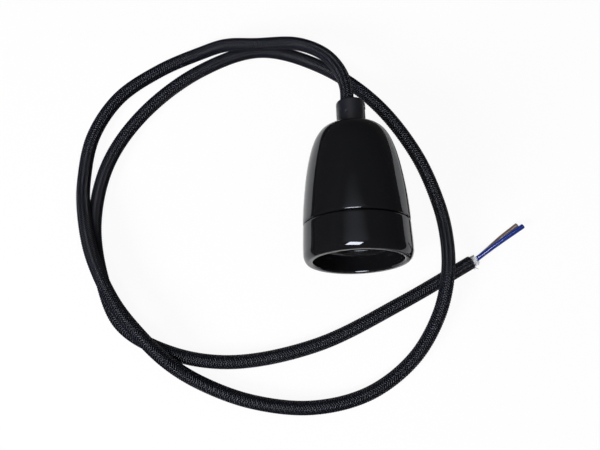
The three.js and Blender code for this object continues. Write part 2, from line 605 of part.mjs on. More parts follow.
function buildHolder() {
  const holder = new THREE.Group();
  place(holder, 'dome_cap', 'glaze', domeCap());
  place(holder, 'skirt_ring', 'glaze', skirtRing());
  place(holder, 'socket_insert', 'steatite', socketInsert());
  place(holder, 'screw_shell', 'nickel', screwShell());
  place(holder, 'centre_contact', 'bronze', centreContact());
  place(holder, 'live_terminal', 'brass', terminal(TERMINAL_OFFSET, RIVET_OFFSET, LIVE_TERMINAL_BOTTOM));
  place(holder, 'neutral_terminal', 'brass',
    terminal(-TERMINAL_OFFSET, -RIVET_OFFSET, NEUTRAL_TERMINAL_BOTTOM));
  place(holder, 'live_terminal_screw', 'zinc', terminalScrew(TERMINAL_OFFSET, LIVE_TERMINAL_BOTTOM));
  place(holder, 'neutral_terminal_screw', 'zinc', terminalScrew(-TERMINAL_OFFSET, NEUTRAL_TERMINAL_BOTTOM));
  place(holder, 'live_rivet', 'brass', rivet(RIVET_OFFSET, FLOOR_BOTTOM, LIVE_TERMINAL_BOTTOM));
  place(holder, 'neutral_rivet', 'brass',
    rivet(-RIVET_OFFSET, SHELL_TOP - SHELL_WALL, NEUTRAL_TERMINAL_BOTTOM));
  place(holder, 'cord_grip_body', 'plastic', cordGripBody());
  place(holder, 'cord_grip_screw', 'plastic', cordGripScrew());
  place(holder, 'grip_washer', 'zinc', gripWasher());
  place(holder, 'grip_nut', 'zinc', gripNut());
  return holder;
}

function addRootWiring(holder) {
  const liveCore = rootCoreCurve(1, LIVE_TERMINAL_BOTTOM);
  const neutralCore = rootCoreCurve(-1, NEUTRAL_TERMINAL_BOTTOM);
  place(holder, 'inner_sheath_root', 'sheath',
    closed(rod(SHEATH_RADIUS, ROOT_SHEATH_BOTTOM, ROOT_SHEATH_TOP)));
  place(holder, 'live_core_root', 'brown', tube(liveCore, CORE_RADIUS, CORE_SIDES, 14));
  place(holder, 'neutral_core_root', 'blue', tube(neutralCore, CORE_RADIUS, CORE_SIDES, 14));
  place(holder, 'live_wire_root', 'copper', rootWire(1, LIVE_TERMINAL_BOTTOM));
  place(holder, 'neutral_wire_root', 'copper', rootWire(-1, NEUTRAL_TERMINAL_BOTTOM));
}

// Lays the tilted holder on the surface with its middle over the origin.
function layDown(holder) {
  holder.rotation.x = -radians(HOLDER_TILT);
  const box = new THREE.Box3().setFromObject(holder, true);
  holder.position.set(0, -(box.min.y + box.max.y) / 2, -box.min.z);
  holder.updateMatrixWorld(true);
}

function addCord(set, holder) {
  const inside = [
    [0, CORD_ROOT_HEIGHT],
    [0, COLLAR_BOTTOM - NIPPLE_LENGTH / 2],
    [-0.2, COLLAR_BOTTOM],
    [-COLLAR_BORE_OFFSET - 0.4, COLLAR_BOTTOM + COLLAR_LENGTH / 2],
    [-CORD_EXIT_OFFSET, COLLAR_TOP],
  ].map(([x, y]) => holder.localToWorld(new THREE.Vector3(x, y, 0)).toArray());
  const path = smooth([...inside, ...CORD_ROUTE]);
  const end = path.getPointAt(1);
  const along = path.getTangentAt(1);
  const sheath = new THREE.LineCurve3(end.clone().addScaledVector(along, SEAT_GAP),
    end.clone().addScaledVector(along, SEAT_GAP + END_SHEATH_LENGTH));
  const blue = smooth(BLUE_TAIL_ROUTE);
  const brown = smooth(BROWN_TAIL_ROUTE);
  place(set, 'braided_cord', 'braid', tube(path, CORD_RADIUS, CORD_SIDES, CORD_STEPS));
  place(set, 'inner_sheath_end', 'sheath', tube(sheath, SHEATH_RADIUS, CORD_SIDES, 1));
  place(set, 'blue_core_tail', 'blue', coreTail(blue));
  place(set, 'brown_core_tail', 'brown', coreTail(brown));
  place(set, 'blue_wire_tip', 'copper', tailWire(blue));
  place(set, 'brown_wire_tip', 'copper', tailWire(brown));
}

const cordSet = new THREE.Group();
const holder = buildHolder();
layDown(holder);
addRootWiring(holder);
cordSet.add(holder);
addCord(cordSet, holder);

export default cordSet;
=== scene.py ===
"""Looks of a pendant cord set: a two-part glazed lamp holder, its cord grip and 0.95 m of braided cord.

Sizes of the object's pieces are millimetres, as on its drawing. Everything that reaches Blender is
turned into metres in the row frame, with +Z up and the holder's mouth towards -Y.
"""

import logging
import math
from dataclasses import dataclass, field
from enum import Enum
from typing import Any, Callable, Sequence

import bmesh
import bpy
import numpy as np
from mathutils import Matrix, Vector, noise


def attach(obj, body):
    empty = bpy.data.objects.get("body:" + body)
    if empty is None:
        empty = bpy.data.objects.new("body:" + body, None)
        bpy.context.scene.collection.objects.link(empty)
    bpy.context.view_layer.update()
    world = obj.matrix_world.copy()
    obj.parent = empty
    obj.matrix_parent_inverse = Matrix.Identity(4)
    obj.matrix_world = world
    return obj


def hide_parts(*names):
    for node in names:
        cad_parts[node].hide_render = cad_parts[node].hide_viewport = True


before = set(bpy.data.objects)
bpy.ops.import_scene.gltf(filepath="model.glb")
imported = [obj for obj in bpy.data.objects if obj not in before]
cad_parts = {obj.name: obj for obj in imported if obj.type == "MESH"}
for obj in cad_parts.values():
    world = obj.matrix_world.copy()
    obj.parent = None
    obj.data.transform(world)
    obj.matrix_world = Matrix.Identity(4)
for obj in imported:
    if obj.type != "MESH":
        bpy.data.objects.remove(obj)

LOG = logging.getLogger("pendant_cord_set")
MM = 0.001
SOFT_CREASE_DEG = 50.0
LIT_ALONE = {"cores": ("blue_core", "brown_core"), "braid": ("braid_right", "braid_left")}
Pair = tuple[float, float]
Triple = tuple[float, float, float]


class Hand(Enum):
    """Which way a helical yarn turns around the cord."""

    RIGHT = 1.0
    LEFT = -1.0


class Slot(Enum):
    """Material slots of the record."""

    GLAZE = "glaze"
    STEATITE = "steatite"
    NICKEL = "nickel"
    BRONZE = "bronze"
    BRASS = "brass"
    ZINC = "zinc"
    PLASTIC = "plastic"
    BRAID = "braid"
    SHEATH = "sheath"
    BLUE = "blue"
    BROWN = "brown"
    COPPER = "copper"


# Building node trees


class TreeDraft:
    """A node tree in the making, with short calls for adding and joining nodes."""

    def __init__(self, tree: bpy.types.NodeTree) -> None:
        """Keeps the tree and empties it.

        Args:
            tree: the node tree to fill.
        """
        self.tree = tree
        tree.nodes.clear()

    def socket(self, name: str, kind: str, out: bool = False, default: Any = None) -> None:
        """Adds a named socket to a group's outside.

        Args:
            name: the socket's name.
            kind: the socket's type, such as NodeSocketFloat.
            out: True for an output.
            default: the value an input starts with.
        """
        side = "OUTPUT" if out else "INPUT"
        item = self.tree.interface.new_socket(name=name, in_out=side, socket_type=kind)
        if default is not None:
            item.default_value = default

    def add(self, kind: str, inputs: dict[Any, Any] | None = None, **settings: Any) -> bpy.types.Node:
        """Adds a node, sets its properties and fills its inputs.

        Args:
            kind: the node's type.
            inputs: an input's name or number to the socket or value that feeds it.
            **settings: properties of the node.

        Returns:
            The node.
        """
        node = self.tree.nodes.new(kind)
        for key, value in settings.items():
            setattr(node, key, value)
        for key, value in (inputs or {}).items():
            if isinstance(value, bpy.types.NodeSocket):
                self.tree.links.new(value, node.inputs[key])
            else:
                node.inputs[key].default_value = value
        return node

    def math(self, operation: str, *values: Any) -> bpy.types.NodeSocket:
        """Adds a Math node and returns its result."""
        return self.add("ShaderNodeMath", dict(enumerate(values)), operation=operation).outputs[0]

    def vector(self, operation: str, *values: Any) -> bpy.types.NodeSocket:
        """Adds a Vector Math node and returns its vector."""
        return self.add("ShaderNodeVectorMath", dict(enumerate(values)), operation=operation).outputs[0]

    def scaled(self, vector: Any, factor: Any) -> bpy.types.NodeSocket:
        """Adds a Vector Math node that makes a vector longer or shorter, and returns its vector."""
        return self.add("ShaderNodeVectorMath", {0: vector, "Scale": factor}, operation="SCALE").outputs[0]

    def mix(self, factor: Any, first: Any, second: Any) -> bpy.types.NodeSocket:
        """Adds a colour mix and returns its colour."""
        return self.add("ShaderNodeMix", {0: factor, 6: first, 7: second}, data_type="RGBA").outputs[2]

    def link(self, source: bpy.types.NodeSocket, target: bpy.types.NodeSocket) -> None:
        """Joins an output to an input."""
        self.tree.links.new(source, target)


def new_material(name: str) -> tuple[bpy.types.Material, TreeDraft]:
    """Makes an empty node material.

    Args:
        name: the material's name.

    Returns:
        The material and its tree's draft.
    """
    material = bpy.data.materials.new(name)
    material.use_nodes = True
    return material, TreeDraft(material.node_tree)


def shader_group(name: str, inputs: Sequence[tuple[str, str, Any]], outputs: Sequence[Pair],
                 fill: Callable[[TreeDraft, bpy.types.Node], dict[str, bpy.types.NodeSocket]],
                 ) -> bpy.types.NodeTree:
    """Makes a shader group once, with named inputs and outputs.

    Args:
        name: the group's name.
        inputs: name, socket type and default of each input.
        outputs: name and socket type of each output.
        fill: adds the group's nodes and returns the socket for each output's name.

    Returns:
        The group.
    """
    found = bpy.data.node_groups.get(name)
    if found:
        return found
    draft = TreeDraft(bpy.data.node_groups.new(name, "ShaderNodeTree"))
    for label, kind, default in inputs:
        draft.socket(label, kind, default=default)
    for label, kind in outputs:
        draft.socket(label, kind, out=True)
    results = fill(draft, draft.add("NodeGroupInput"))
    end = draft.add("NodeGroupOutput")
    for label, source in results.items():
        draft.link(source, end.inputs[label])
    return draft.tree


def grain_group() -> bpy.types.NodeTree:
    """Makes the group for soft uneven grain.

    Returns:
        A group with Value, from Low to High over the surface, and Height, from 0 to 1.
    """

    def fill(draft: TreeDraft, start: bpy.types.Node) -> dict[str, bpy.types.NodeSocket]:
        """Adds the soft cloud and spreads its value.

        Args:
            draft: the group's tree.
            start: its group input.

        Returns:
            The socket for each output's name.
        """
        cloud = draft.add("ShaderNodeTexNoise", {
            "Vector": start.outputs["Vector"], "Scale": start.outputs["Scale"],
            "Detail": start.outputs["Detail"], "Roughness": 0.55})
        spread = draft.add("ShaderNodeMapRange", {
            "Value": cloud.outputs[0], "From Min": 0.3, "From Max": 0.7,
            "To Min": start.outputs["Low"], "To Max": start.outputs["High"]})
        return {"Value": spread.outputs[0], "Height": cloud.outputs[0]}

    return shader_group("Soft grain", [
        ("Vector", "NodeSocketVector", (0.0, 0.0, 0.0)), ("Scale", "NodeSocketFloat", 400.0),
        ("Detail", "NodeSocketFloat", 3.0), ("Low", "NodeSocketFloat", 0.0),
        ("High", "NodeSocketFloat", 1.0)],
        [("Value", "NodeSocketFloat"), ("Height", "NodeSocketFloat")], fill)


def specks_group() -> bpy.types.NodeTree:
    """Makes the group for sparse small specks, such as pinholes, dust and dark grains.

    Returns:
        A group with Mask, 1 inside a speck and 0 elsewhere.
    """

    def fill(draft: TreeDraft, start: bpy.types.Node) -> dict[str, bpy.types.NodeSocket]:
        """Adds the cells and marks the chosen ones.

        Args:
            draft: the group's tree.
            start: its group input.

        Returns:
            The socket for each output's name.
        """
        cells = draft.add("ShaderNodeTexVoronoi", {
            "Vector": start.outputs["Vector"], "Scale": start.outputs["Scale"], "Randomness": 1.0})
        draw = draft.add("ShaderNodeSeparateColor", {"Color": cells.outputs["Color"]})
        chosen = draft.math("LESS_THAN", draw.outputs[0], start.outputs["Share"])
        size = draft.math("MULTIPLY", draw.outputs[1], start.outputs["Size"])
        edge = draft.add("ShaderNodeMapRange", {
            "Value": cells.outputs["Distance"], "From Min": size, "From Max": 0.0,
            "To Min": 0.0, "To Max": 1.0})
        return {"Mask": draft.math("MULTIPLY", edge.outputs[0], chosen)}

    return shader_group("Sparse specks", [
        ("Vector", "NodeSocketVector", (0.0, 0.0, 0.0)), ("Scale", "NodeSocketFloat", 500.0),
        ("Share", "NodeSocketFloat", 0.1), ("Size", "NodeSocketFloat", 0.25)],
        [("Mask", "NodeSocketFloat")], fill)


def drawn_lines_group() -> bpy.types.NodeTree:
    """Makes the group for the fine parallel lines of drawn, rolled and turned metal.

    Returns:
        A group with Height, from 0 to 1, and Tone, a soft patchy value from 0 to 1.
    """

    def fill(draft: TreeDraft, start: bpy.types.Node) -> dict[str, bpy.types.NodeSocket]:
        """Adds the drawn lines and the patches.

        Args:
            draft: the group's tree.
            start: its group input.

        Returns:
            The socket for each output's name.
        """
        stretched = draft.vector("MULTIPLY", start.outputs["Vector"], start.outputs["Stretch"])
        lines = draft.add("ShaderNodeTexNoise", {
            "Vector": stretched, "Scale": start.outputs["Scale"], "Detail": 4.0, "Roughness": 0.6})
        patches = draft.add("ShaderNodeTexNoise", {
            "Vector": start.outputs["Vector"], "Scale": 150.0, "Detail": 3.0})
        return {"Height": lines.outputs[0], "Tone": patches.outputs[0]}

    return shader_group("Drawn lines", [
        ("Vector", "NodeSocketVector", (0.0, 0.0, 0.0)), ("Scale", "NodeSocketFloat", 900.0),
        ("Stretch", "NodeSocketVector", (1.0, 8.0, 1.0))],
        [("Height", "NodeSocketFloat"), ("Tone", "NodeSocketFloat")], fill)


def filaments_group() -> bpy.types.NodeTree:
    """Makes the group for the filaments of a textile yarn, which follow the yarn's own attributes.

    Returns:
        A group with Height, the filaments' relief, and Tone, painted shade from 0 in a gap to 1 on a filament.
    """

    def fill(draft: TreeDraft, start: bpy.types.Node) -> dict[str, bpy.types.NodeSocket]:
        """Adds the filaments' wave and their tone, which is painted shade in the gaps.

        Args:
            draft: the group's tree.
            start: its group input.

        Returns:
            The socket for each output's name.
        """
        across = draft.add("ShaderNodeAttribute", attribute_name="yarn_across").outputs["Fac"]
        along = draft.add("ShaderNodeAttribute", attribute_name="yarn_along").outputs["Fac"]
        lead = draft.math("MULTIPLY", along, start.outputs["Twist"])
        place = draft.math("ADD", draft.math("MULTIPLY", across, start.outputs["Count"]), lead)
        wave = draft.math("SINE", draft.math("MULTIPLY", place, math.pi))
        cloud = draft.add("ShaderNodeTexNoise", {
            "Vector": draft.add("ShaderNodeTexCoord").outputs["Object"], "Scale": 2500.0, "Detail": 2.0})
        height = draft.math("ADD", draft.math("MULTIPLY", wave, 0.5), cloud.outputs[0])
        # Painted shade: darker in the gaps between the filaments.
        tone = draft.add("ShaderNodeMapRange", {"Value": height, "From Min": 0.1, "From Max": 1.0})
        # Painted shade: darker towards the yarn's edges, where yarns meet.
        crown = draft.add("ShaderNodeMapRange", {
            "Value": draft.math("ABSOLUTE", across), "From Min": 0.0, "From Max": 0.6, "To Min": 1.0,
            "To Max": 0.0}, interpolation_type="SMOOTHSTEP")
        # Painted shade: darker where the yarn dips under the other hand's yarns.
        dip_shade = draft.add("ShaderNodeMapRange", {
            "Value": draft.add("ShaderNodeAttribute", attribute_name="yarn_lift").outputs["Fac"],
            "From Min": -0.1, "From Max": 0.95}, interpolation_type="SMOOTHSTEP")
        shown = draft.math("MULTIPLY", crown.outputs[0], dip_shade.outputs[0])
        return {"Height": height, "Tone": draft.math("MULTIPLY", tone.outputs[0], shown)}

    return shader_group("Yarn filaments", [
        ("Count", "NodeSocketFloat", 3.0), ("Twist", "NodeSocketFloat", 900.0)],
        [("Height", "NodeSocketFloat"), ("Tone", "NodeSocketFloat")], fill)


# Finishes


@dataclass(frozen=True)
class Finish:
    """What every finish has: its name, its two tones and the range of its roughness."""

    name: str
    tone: Triple
    second_tone: Triple
    smooth: float
    rough: float
    ior: float = 1.5

    def start(self) -> tuple[bpy.types.Material, TreeDraft, bpy.types.Node, bpy.types.NodeSocket]:
        """Makes the material with its shader and output.

        Returns:
            The material, its tree's draft, its Principled shader and the Object coordinates.
        """
        material, draft = new_material(self.name)
        shader = draft.add("ShaderNodeBsdfPrincipled", {"IOR": self.ior})
        draft.add("ShaderNodeOutputMaterial", {"Surface": shader.outputs[0]})
        return material, draft, shader, draft.add("ShaderNodeTexCoord").outputs["Object"]

    def group(self, draft: TreeDraft, tree: bpy.types.NodeTree, **values: Any) -> bpy.types.Node:
        """Places a shared group in the material and fills its inputs by name."""
        named = {key.capitalize(): value for key, value in values.items()}
        return draft.add("ShaderNodeGroup", named, node_tree=tree)

    def grain(self, draft: TreeDraft, place: bpy.types.NodeSocket, scale: float,
              detail: float = 3.0) -> bpy.types.Node:
        """Places the soft grain with this finish's roughness range."""
        return self.group(draft, grain_group(), vector=place, scale=scale, detail=detail,
                          low=self.smooth, high=self.rough)

    def bump(self, draft: TreeDraft, height: bpy.types.NodeSocket, depth_mm: float,
             below: bpy.types.NodeSocket | None = None) -> bpy.types.NodeSocket:
        """Turns a height into a normal, on top of another normal if there is one.

        Args:
            draft: the material's tree.
            height: the relief, from 0 to 1.
            depth_mm: how deep it goes.
            below: the normal it stands on, or None for the surface's own.

        Returns:
            The normal's socket.
        """
        under = {} if below is None else {"Normal": below}
        return draft.add("ShaderNodeBump", {
            "Height": height, "Strength": 1.0, "Distance": depth_mm * MM, **under}).outputs[0]

    def tones(self, draft: TreeDraft, factor: bpy.types.NodeSocket) -> bpy.types.NodeSocket:
        """Mixes the finish's two tones."""
        return draft.mix(factor, self.rgba(self.tone), self.rgba(self.second_tone))

    def material(self) -> bpy.types.Material:
        """Builds the finish's material."""
        raise NotImplementedError

    @staticmethod
    def rgba(tone: Triple) -> tuple[float, float, float, float]:
        """A colour with full alpha."""
        return (*tone, 1.0)


@dataclass(frozen=True)
class Glaze(Finish):
    """High-gloss fired glaze with a faint orange peel and a few pinholes."""

    tint: Triple = (0.84, 0.88, 1.0)
    cloud_scale: float = 60.0
    peel_scale: float = 900.0
    peel_mm: float = 0.004
    pinhole_scale: float = 260.0
    pinhole_share: float = 0.05
    pinhole_size: float = 0.12
    pinhole_dulling: float = 0.35
    pinhole_mm: float = 0.02

    def material(self) -> bpy.types.Material:
        """Builds the glaze's material.

        Returns:
            The material.
        """
        material, draft, shader, place = self.start()
        shader.inputs["Specular Tint"].default_value = self.rgba(self.tint)
        cloud = self.grain(draft, place, self.cloud_scale)
        peel = self.grain(draft, place, self.peel_scale, 2.0)
        holes = self.group(draft, specks_group(), vector=place, scale=self.pinhole_scale,
                           share=self.pinhole_share, size=self.pinhole_size)
        draft.link(self.tones(draft, cloud.outputs["Height"]), shader.inputs["Base Color"])
        dull = draft.math("MULTIPLY", holes.outputs["Mask"], self.pinhole_dulling)
        draft.link(draft.math("ADD", cloud.outputs["Value"], dull), shader.inputs["Roughness"])
        first = self.bump(draft, peel.outputs["Height"], self.peel_mm)
        sunk = draft.math("MULTIPLY", holes.outputs["Mask"], -1.0)
        draft.link(self.bump(draft, sunk, self.pinhole_mm, first), shader.inputs["Normal"])
        return material


@dataclass(frozen=True)
class FiredCeramic(Finish):
    """Unglazed pressed ceramic with fine grain and sparse darker grains."""

    coarse_scale: float = 300.0
    fine_scale: float = 2500.0
    fine_mm: float = 0.03
    speck_tone: Triple = (0.25, 0.2, 0.15)
    speck_scale: float = 700.0
    speck_share: float = 0.12
    speck_size: float = 0.3
    speck_strength: float = 0.6

    def material(self) -> bpy.types.Material:
        """Builds the bare ceramic's material.

        Returns:
            The material.
        """
        material, draft, shader, place = self.start()
        coarse = self.grain(draft, place, self.coarse_scale, 5.0)
        fine = self.grain(draft, place, self.fine_scale, 2.0)
        dark = self.group(draft, specks_group(), vector=place, scale=self.speck_scale,
                          share=self.speck_share, size=self.speck_size)
        body = self.tones(draft, coarse.outputs["Height"])
        shown = draft.math("MULTIPLY", dark.outputs["Mask"], self.speck_strength)
        draft.link(draft.mix(shown, body, self.rgba(self.speck_tone)), shader.inputs["Base Color"])
        draft.link(coarse.outputs["Value"], shader.inputs["Roughness"])
        draft.link(self.bump(draft, fine.outputs["Height"], self.fine_mm), shader.inputs["Normal"])
        return material


@dataclass(frozen=True)
class Metal(Finish):
    """Bare or plated metal with fine working lines and slightly patchy tone."""

    stretch: Triple = (1.0, 8.0, 1.0)
    line_scale: float = 900.0
    line_mm: float = 0.006

    def material(self) -> bpy.types.Material:
        """Builds the metal's material.

        Returns:
            The material.
        """
        material, draft, shader, place = self.start()
        shader.inputs["Metallic"].default_value = 1.0
        lines = self.group(draft, drawn_lines_group(), vector=place, scale=self.line_scale,
                           stretch=self.stretch)
        draft.link(self.tones(draft, lines.outputs["Tone"]), shader.inputs["Base Color"])
        rough = draft.add("ShaderNodeMapRange", {
            "Value": lines.outputs["Height"], "From Min": 0.3, "From Max": 0.7,
            "To Min": self.smooth, "To Max": self.rough})
        draft.link(rough.outputs[0], shader.inputs["Roughness"])
        draft.link(self.bump(draft, lines.outputs["Height"], self.line_mm), shader.inputs["Normal"])
        return material


@dataclass(frozen=True)
class Moulded(Finish):
    """Moulded plastic or rubber with a fine spark-eroded skin and a little dust."""

    patch_scale: float = 180.0
    skin_mm: float = 0.02
    skin_scale: float = 2200.0
    dust: float = 0.08
    dust_tone: Triple = (0.3, 0.3, 0.3)
    dust_scale: float = 900.0
    dust_size: float = 0.2
    dust_strength: float = 0.15

    def material(self) -> bpy.types.Material:
        """Builds the moulded material.

        Returns:
            The material.
        """
        material, draft, shader, place = self.start()
        patches = self.grain(draft, place, self.patch_scale)
        skin = self.grain(draft, place, self.skin_scale, 2.0)
        dust = self.group(draft, specks_group(), vector=place, scale=self.dust_scale, share=self.dust,
                          size=self.dust_size)
        body = self.tones(draft, patches.outputs["Height"])
        light = draft.math("MULTIPLY", dust.outputs["Mask"], self.dust_strength)
        draft.link(draft.mix(light, body, self.rgba(self.dust_tone)), shader.inputs["Base Color"])
        draft.link(patches.outputs["Value"], shader.inputs["Roughness"])
        draft.link(self.bump(draft, skin.outputs["Height"], self.skin_mm), shader.inputs["Normal"])
        return material


@dataclass(frozen=True)
class Yarn(Finish):
    """Braiding yarn: parallel filaments with a soft sheen along them, and painted shade in their gaps."""

    filaments: float = 3.0
    twist: float = 900.0
    relief_mm: float = 0.02
    gloss: float = 0.2
    sheen: float = 0.02
    sheen_tone: Triple = (0.6, 0.62, 0.8)
    wear_scale: float = 250.0

    def material(self) -> bpy.types.Material:
        """Builds the yarn's material.

        Returns:
            The material.
        """
        material, draft, shader, place = self.start()
        shader.inputs["Specular IOR Level"].default_value = self.gloss
        shader.inputs["Sheen Weight"].default_value = self.sheen
        shader.inputs["Sheen Tint"].default_value = self.rgba(self.sheen_tone)
        threads = self.group(draft, filaments_group(), count=self.filaments, twist=self.twist)
        wear = self.grain(draft, place, self.wear_scale)
        # The yarn's colour runs from its painted gap shade to its crown tone.
        draft.link(self.tones(draft, threads.outputs["Tone"]), shader.inputs["Base Color"])
        draft.link(wear.outputs["Value"], shader.inputs["Roughness"])
        draft.link(self.bump(draft, threads.outputs["Height"], self.relief_mm), shader.inputs["Normal"])
        return material


FINISHES: dict[Slot, Finish] = {
    Slot.GLAZE: Glaze("Black glaze", (0.0035, 0.0035, 0.0042), (0.0055, 0.0055, 0.0062), 0.035, 0.06),
    Slot.STEATITE: FiredCeramic("Bare ceramic", (0.74, 0.71, 0.63), (0.84, 0.82, 0.76), 0.5, 0.7),
    Slot.NICKEL: Metal("Rolled plated sheet", (0.6, 0.58, 0.54), (0.72, 0.7, 0.66), 0.18, 0.34),
    Slot.BRONZE: Metal("Spring strip", (0.62, 0.42, 0.2), (0.75, 0.55, 0.3), 0.22, 0.4,
                       stretch=(6.0, 1.0, 1.0)),
    Slot.BRASS: Metal("Machined brass", (0.68, 0.52, 0.22), (0.8, 0.66, 0.34), 0.22, 0.4),
    Slot.ZINC: Metal("Zinc plate", (0.5, 0.51, 0.52), (0.66, 0.67, 0.68), 0.3, 0.5,
                     stretch=(2.0, 2.0, 2.0)),
    Slot.PLASTIC: Moulded("Matte black plastic", (0.003, 0.0033, 0.007), (0.006, 0.0066, 0.013), 0.34, 0.42,
                          ior=1.6),
    # Braid yarn: the first tone is painted shade in the gaps, the second the yarns' crowns.
    Slot.BRAID: Yarn("Braid yarn", (0.0006, 0.0006, 0.0012), (0.027, 0.03, 0.055), 0.3, 0.4),
    Slot.SHEATH: Moulded("White sheath", (0.52, 0.54, 0.57), (0.7, 0.72, 0.75), 0.45, 0.65, dust=0.2),
    Slot.BLUE: Moulded("Blue insulation", (0.003, 0.018, 0.17), (0.005, 0.026, 0.23), 0.1, 0.16,
                       skin_mm=0.006, dust=0.03),
    Slot.BROWN: Moulded("Brown insulation", (0.12, 0.082, 0.072), (0.17, 0.12, 0.105), 0.2, 0.3,
                        skin_mm=0.006, dust=0.03),
    Slot.COPPER: Metal("Copper strand", (0.72, 0.34, 0.2), (0.86, 0.48, 0.3), 0.2, 0.36),
}


class MaterialShelf:
    """Keeps one material for each slot, made the first time it is asked for."""

    def __init__(self) -> None:
        """Starts with an empty shelf."""
        self.made: dict[Slot, bpy.types.Material] = {}

    def get(self, slot: Slot) -> bpy.types.Material:
        """Finds a slot's material, or makes it.

        Args:
            slot: the record's material slot.

        Returns:
            The material.
        """
        if slot not in self.made:
            self.made[slot] = FINISHES[slot].material()
        return self.made[slot]


# Shapes


@dataclass(frozen=True)
class HolderAxes:
    """The holder's own axes in the row frame: across, along its axis from the mouth, and up."""

    mouth: Triple = (0.0, -36.940, 24.316)
    dip_deg: float = 3.5

    def place(self, points: np.ndarray) -> np.ndarray:
        """Takes points from the holder's axes to the row frame.

        Args:
            points: rows of across, along and up, in millimetres.

        Returns:
            Rows of x, y, z in metres.
        """
        dip = math.radians(self.dip_deg)
        across, along, up = np.asarray(points, float).T
        y = along * math.cos(dip) + up * math.sin(dip)
        z = up * math.cos(dip) - along * math.sin(dip)
        return (np.stack([across, y, z], axis=1) + np.array(self.mouth)) * MM


def arc(centre: Pair, radius: float, start: float, stop: float, steps: int,
        stretch: float = 1.0) -> list[Pair]:
    """Points of an arc in a profile.

    Args:
        centre: the arc's centre, as radius and height.
        radius: its radius.
        start: first angle in degrees.
        stop: last angle in degrees.
        steps: how many pieces it has.
        stretch: how far it is drawn out along the height.

    Returns:
        Pairs of radius and height.
    """
    angles = [math.radians(start + (stop - start) * i / steps) for i in range(steps + 1)]
    return [(centre[0] + radius * math.cos(a), centre[1] + stretch * radius * math.sin(a)) for a in angles]


def meridian(wide: Pair, seat: Pair, steps: int, shoulder: float = 5.1, taper: float = 1.32) -> list[Pair]:
    """Points of a dome's meridian, from its wide edge in to the flat seat that cuts off its crown.

    Args:
        wide: radius and height of the wide edge.
        seat: radius and height of the seat.
        steps: how many pieces it has.
        shoulder: power that sets how full the shoulder is.
        taper: power that sets how soon the wall leans in.

    Returns:
        Pairs of radius and height.
    """

    def climb(spread: float) -> float:
        """Height of the curve at a share of its widest radius, from 0 to 1."""
        return (1 - spread ** shoulder) ** (1 / taper)

    rise = (seat[1] - wide[1]) / climb(seat[0] / wide[0])
    spreads = [math.cos(i / steps * math.acos(seat[0] / wide[0])) for i in range(steps + 1)]
    return [(wide[0] * spread, wide[1] + rise * climb(spread)) for spread in spreads]


def finer(profile: Sequence[Pair], longest: float) -> list[Pair]:
    """Splits a profile's long straight pieces.

    Args:
        profile: pairs of radius and height.
        longest: the longest piece that stays whole.

    Returns:
        The profile with more points on the same line.
    """
    points: list[Pair] = []
    for (r0, h0), (r1, h1) in zip(profile, profile[1:]):
        count = max(1, math.ceil(math.hypot(r1 - r0, h1 - h0) / longest))
        points += [(r0 + (r1 - r0) * i / count, h0 + (h1 - h0) * i / count) for i in range(count)]
    return points + [profile[-1]]


@dataclass
class Body:
    """A closed mesh in the making: corner points in one frame's units and faces."""

    points: np.ndarray
    faces: list[tuple[int, ...]]

    def joined(self, other: "Body") -> "Body":
        """Both bodies in one mesh."""
        moved = [tuple(i + len(self.points) for i in face) for face in other.faces]
        return Body(np.vstack([self.points, other.points]), self.faces + moved)

    def moved(self, change: Callable[[np.ndarray], np.ndarray]) -> "Body":
        """The body with its points changed by a function."""
        return Body(change(self.points), self.faces)

    def build(self, name: str, material: bpy.types.Material, crease_deg: float = 35.0) -> bpy.types.Object:
        """Makes the object, with faces outwards and smooth except at creases.

        Args:
            name: the object's name.
            material: its material.
            crease_deg: edges sharper than this stay hard.

        Returns:
            The object, at the origin, with its place in its mesh.
        """
        mesh = bpy.data.meshes.new(name)
        mesh.from_pydata([tuple(p) for p in self.points], [], self.faces)
        shape = bmesh.new()
        shape.from_mesh(mesh)
        bmesh.ops.remove_doubles(shape, verts=shape.verts, dist=1e-7)
        bmesh.ops.recalc_face_normals(shape, faces=shape.faces)
        shape.to_mesh(mesh)
        shape.free()
        mesh.shade_smooth()
        mesh.set_sharp_from_angle(angle=math.radians(crease_deg))
        mesh.materials.append(material)
        return show(bpy.data.objects.new(name, mesh))


def show(piece: bpy.types.Object) -> bpy.types.Object:
    """Puts an object in the scene."""
    bpy.context.scene.collection.objects.link(piece)
    return piece


def skins(rings: Sequence[Sequence[int]], looped: bool = False) -> list[tuple[int, ...]]:
    """Faces that join each ring of corners to the next, with triangles where a ring is one point.

    Args:
        rings: corner numbers of each ring, as many in one as in the next.
        looped: True if the last ring joins the first.

    Returns:
        The faces.
    """
    faces: list[tuple[int, ...]] = []
    for low, high in [*zip(rings, rings[1:]), *([(rings[-1], rings[0])] if looped else [])]:
        for i in range(len(low)):
            j = (i + 1) % len(low)
            face = tuple(dict.fromkeys([low[i], low[j], high[j], high[i]]))
            if len(face) > 2:
                faces.append(face)
    return faces


def turned(profile: Sequence[Pair], sides: int) -> Body:
    """A profile turned about the holder's axis, in the holder's axes.

    Args:
        profile: pairs of radius and height, a loop unless it starts and ends on the axis.
        sides: how many sides it has.

    Returns:
        The body, in across, along and up.
    """
    angles = np.arange(sides) / sides * 2 * math.pi
    points: list[np.ndarray] = []
    rings: list[list[int]] = []
    for radius, height in profile:
        first = sum(len(p) for p in points)
        if radius < 1e-9:
            points.append(np.array([[0.0, height, 0.0]]))
            rings.append([first] * sides)
        else:
            ring = np.stack([radius * np.sin(angles), np.full(sides, height), radius * np.cos(angles)], 1)
            points.append(ring)
            rings.append(list(range(first, first + sides)))
    return Body(np.vstack(points), skins(rings, looped=profile[0][0] > 0))


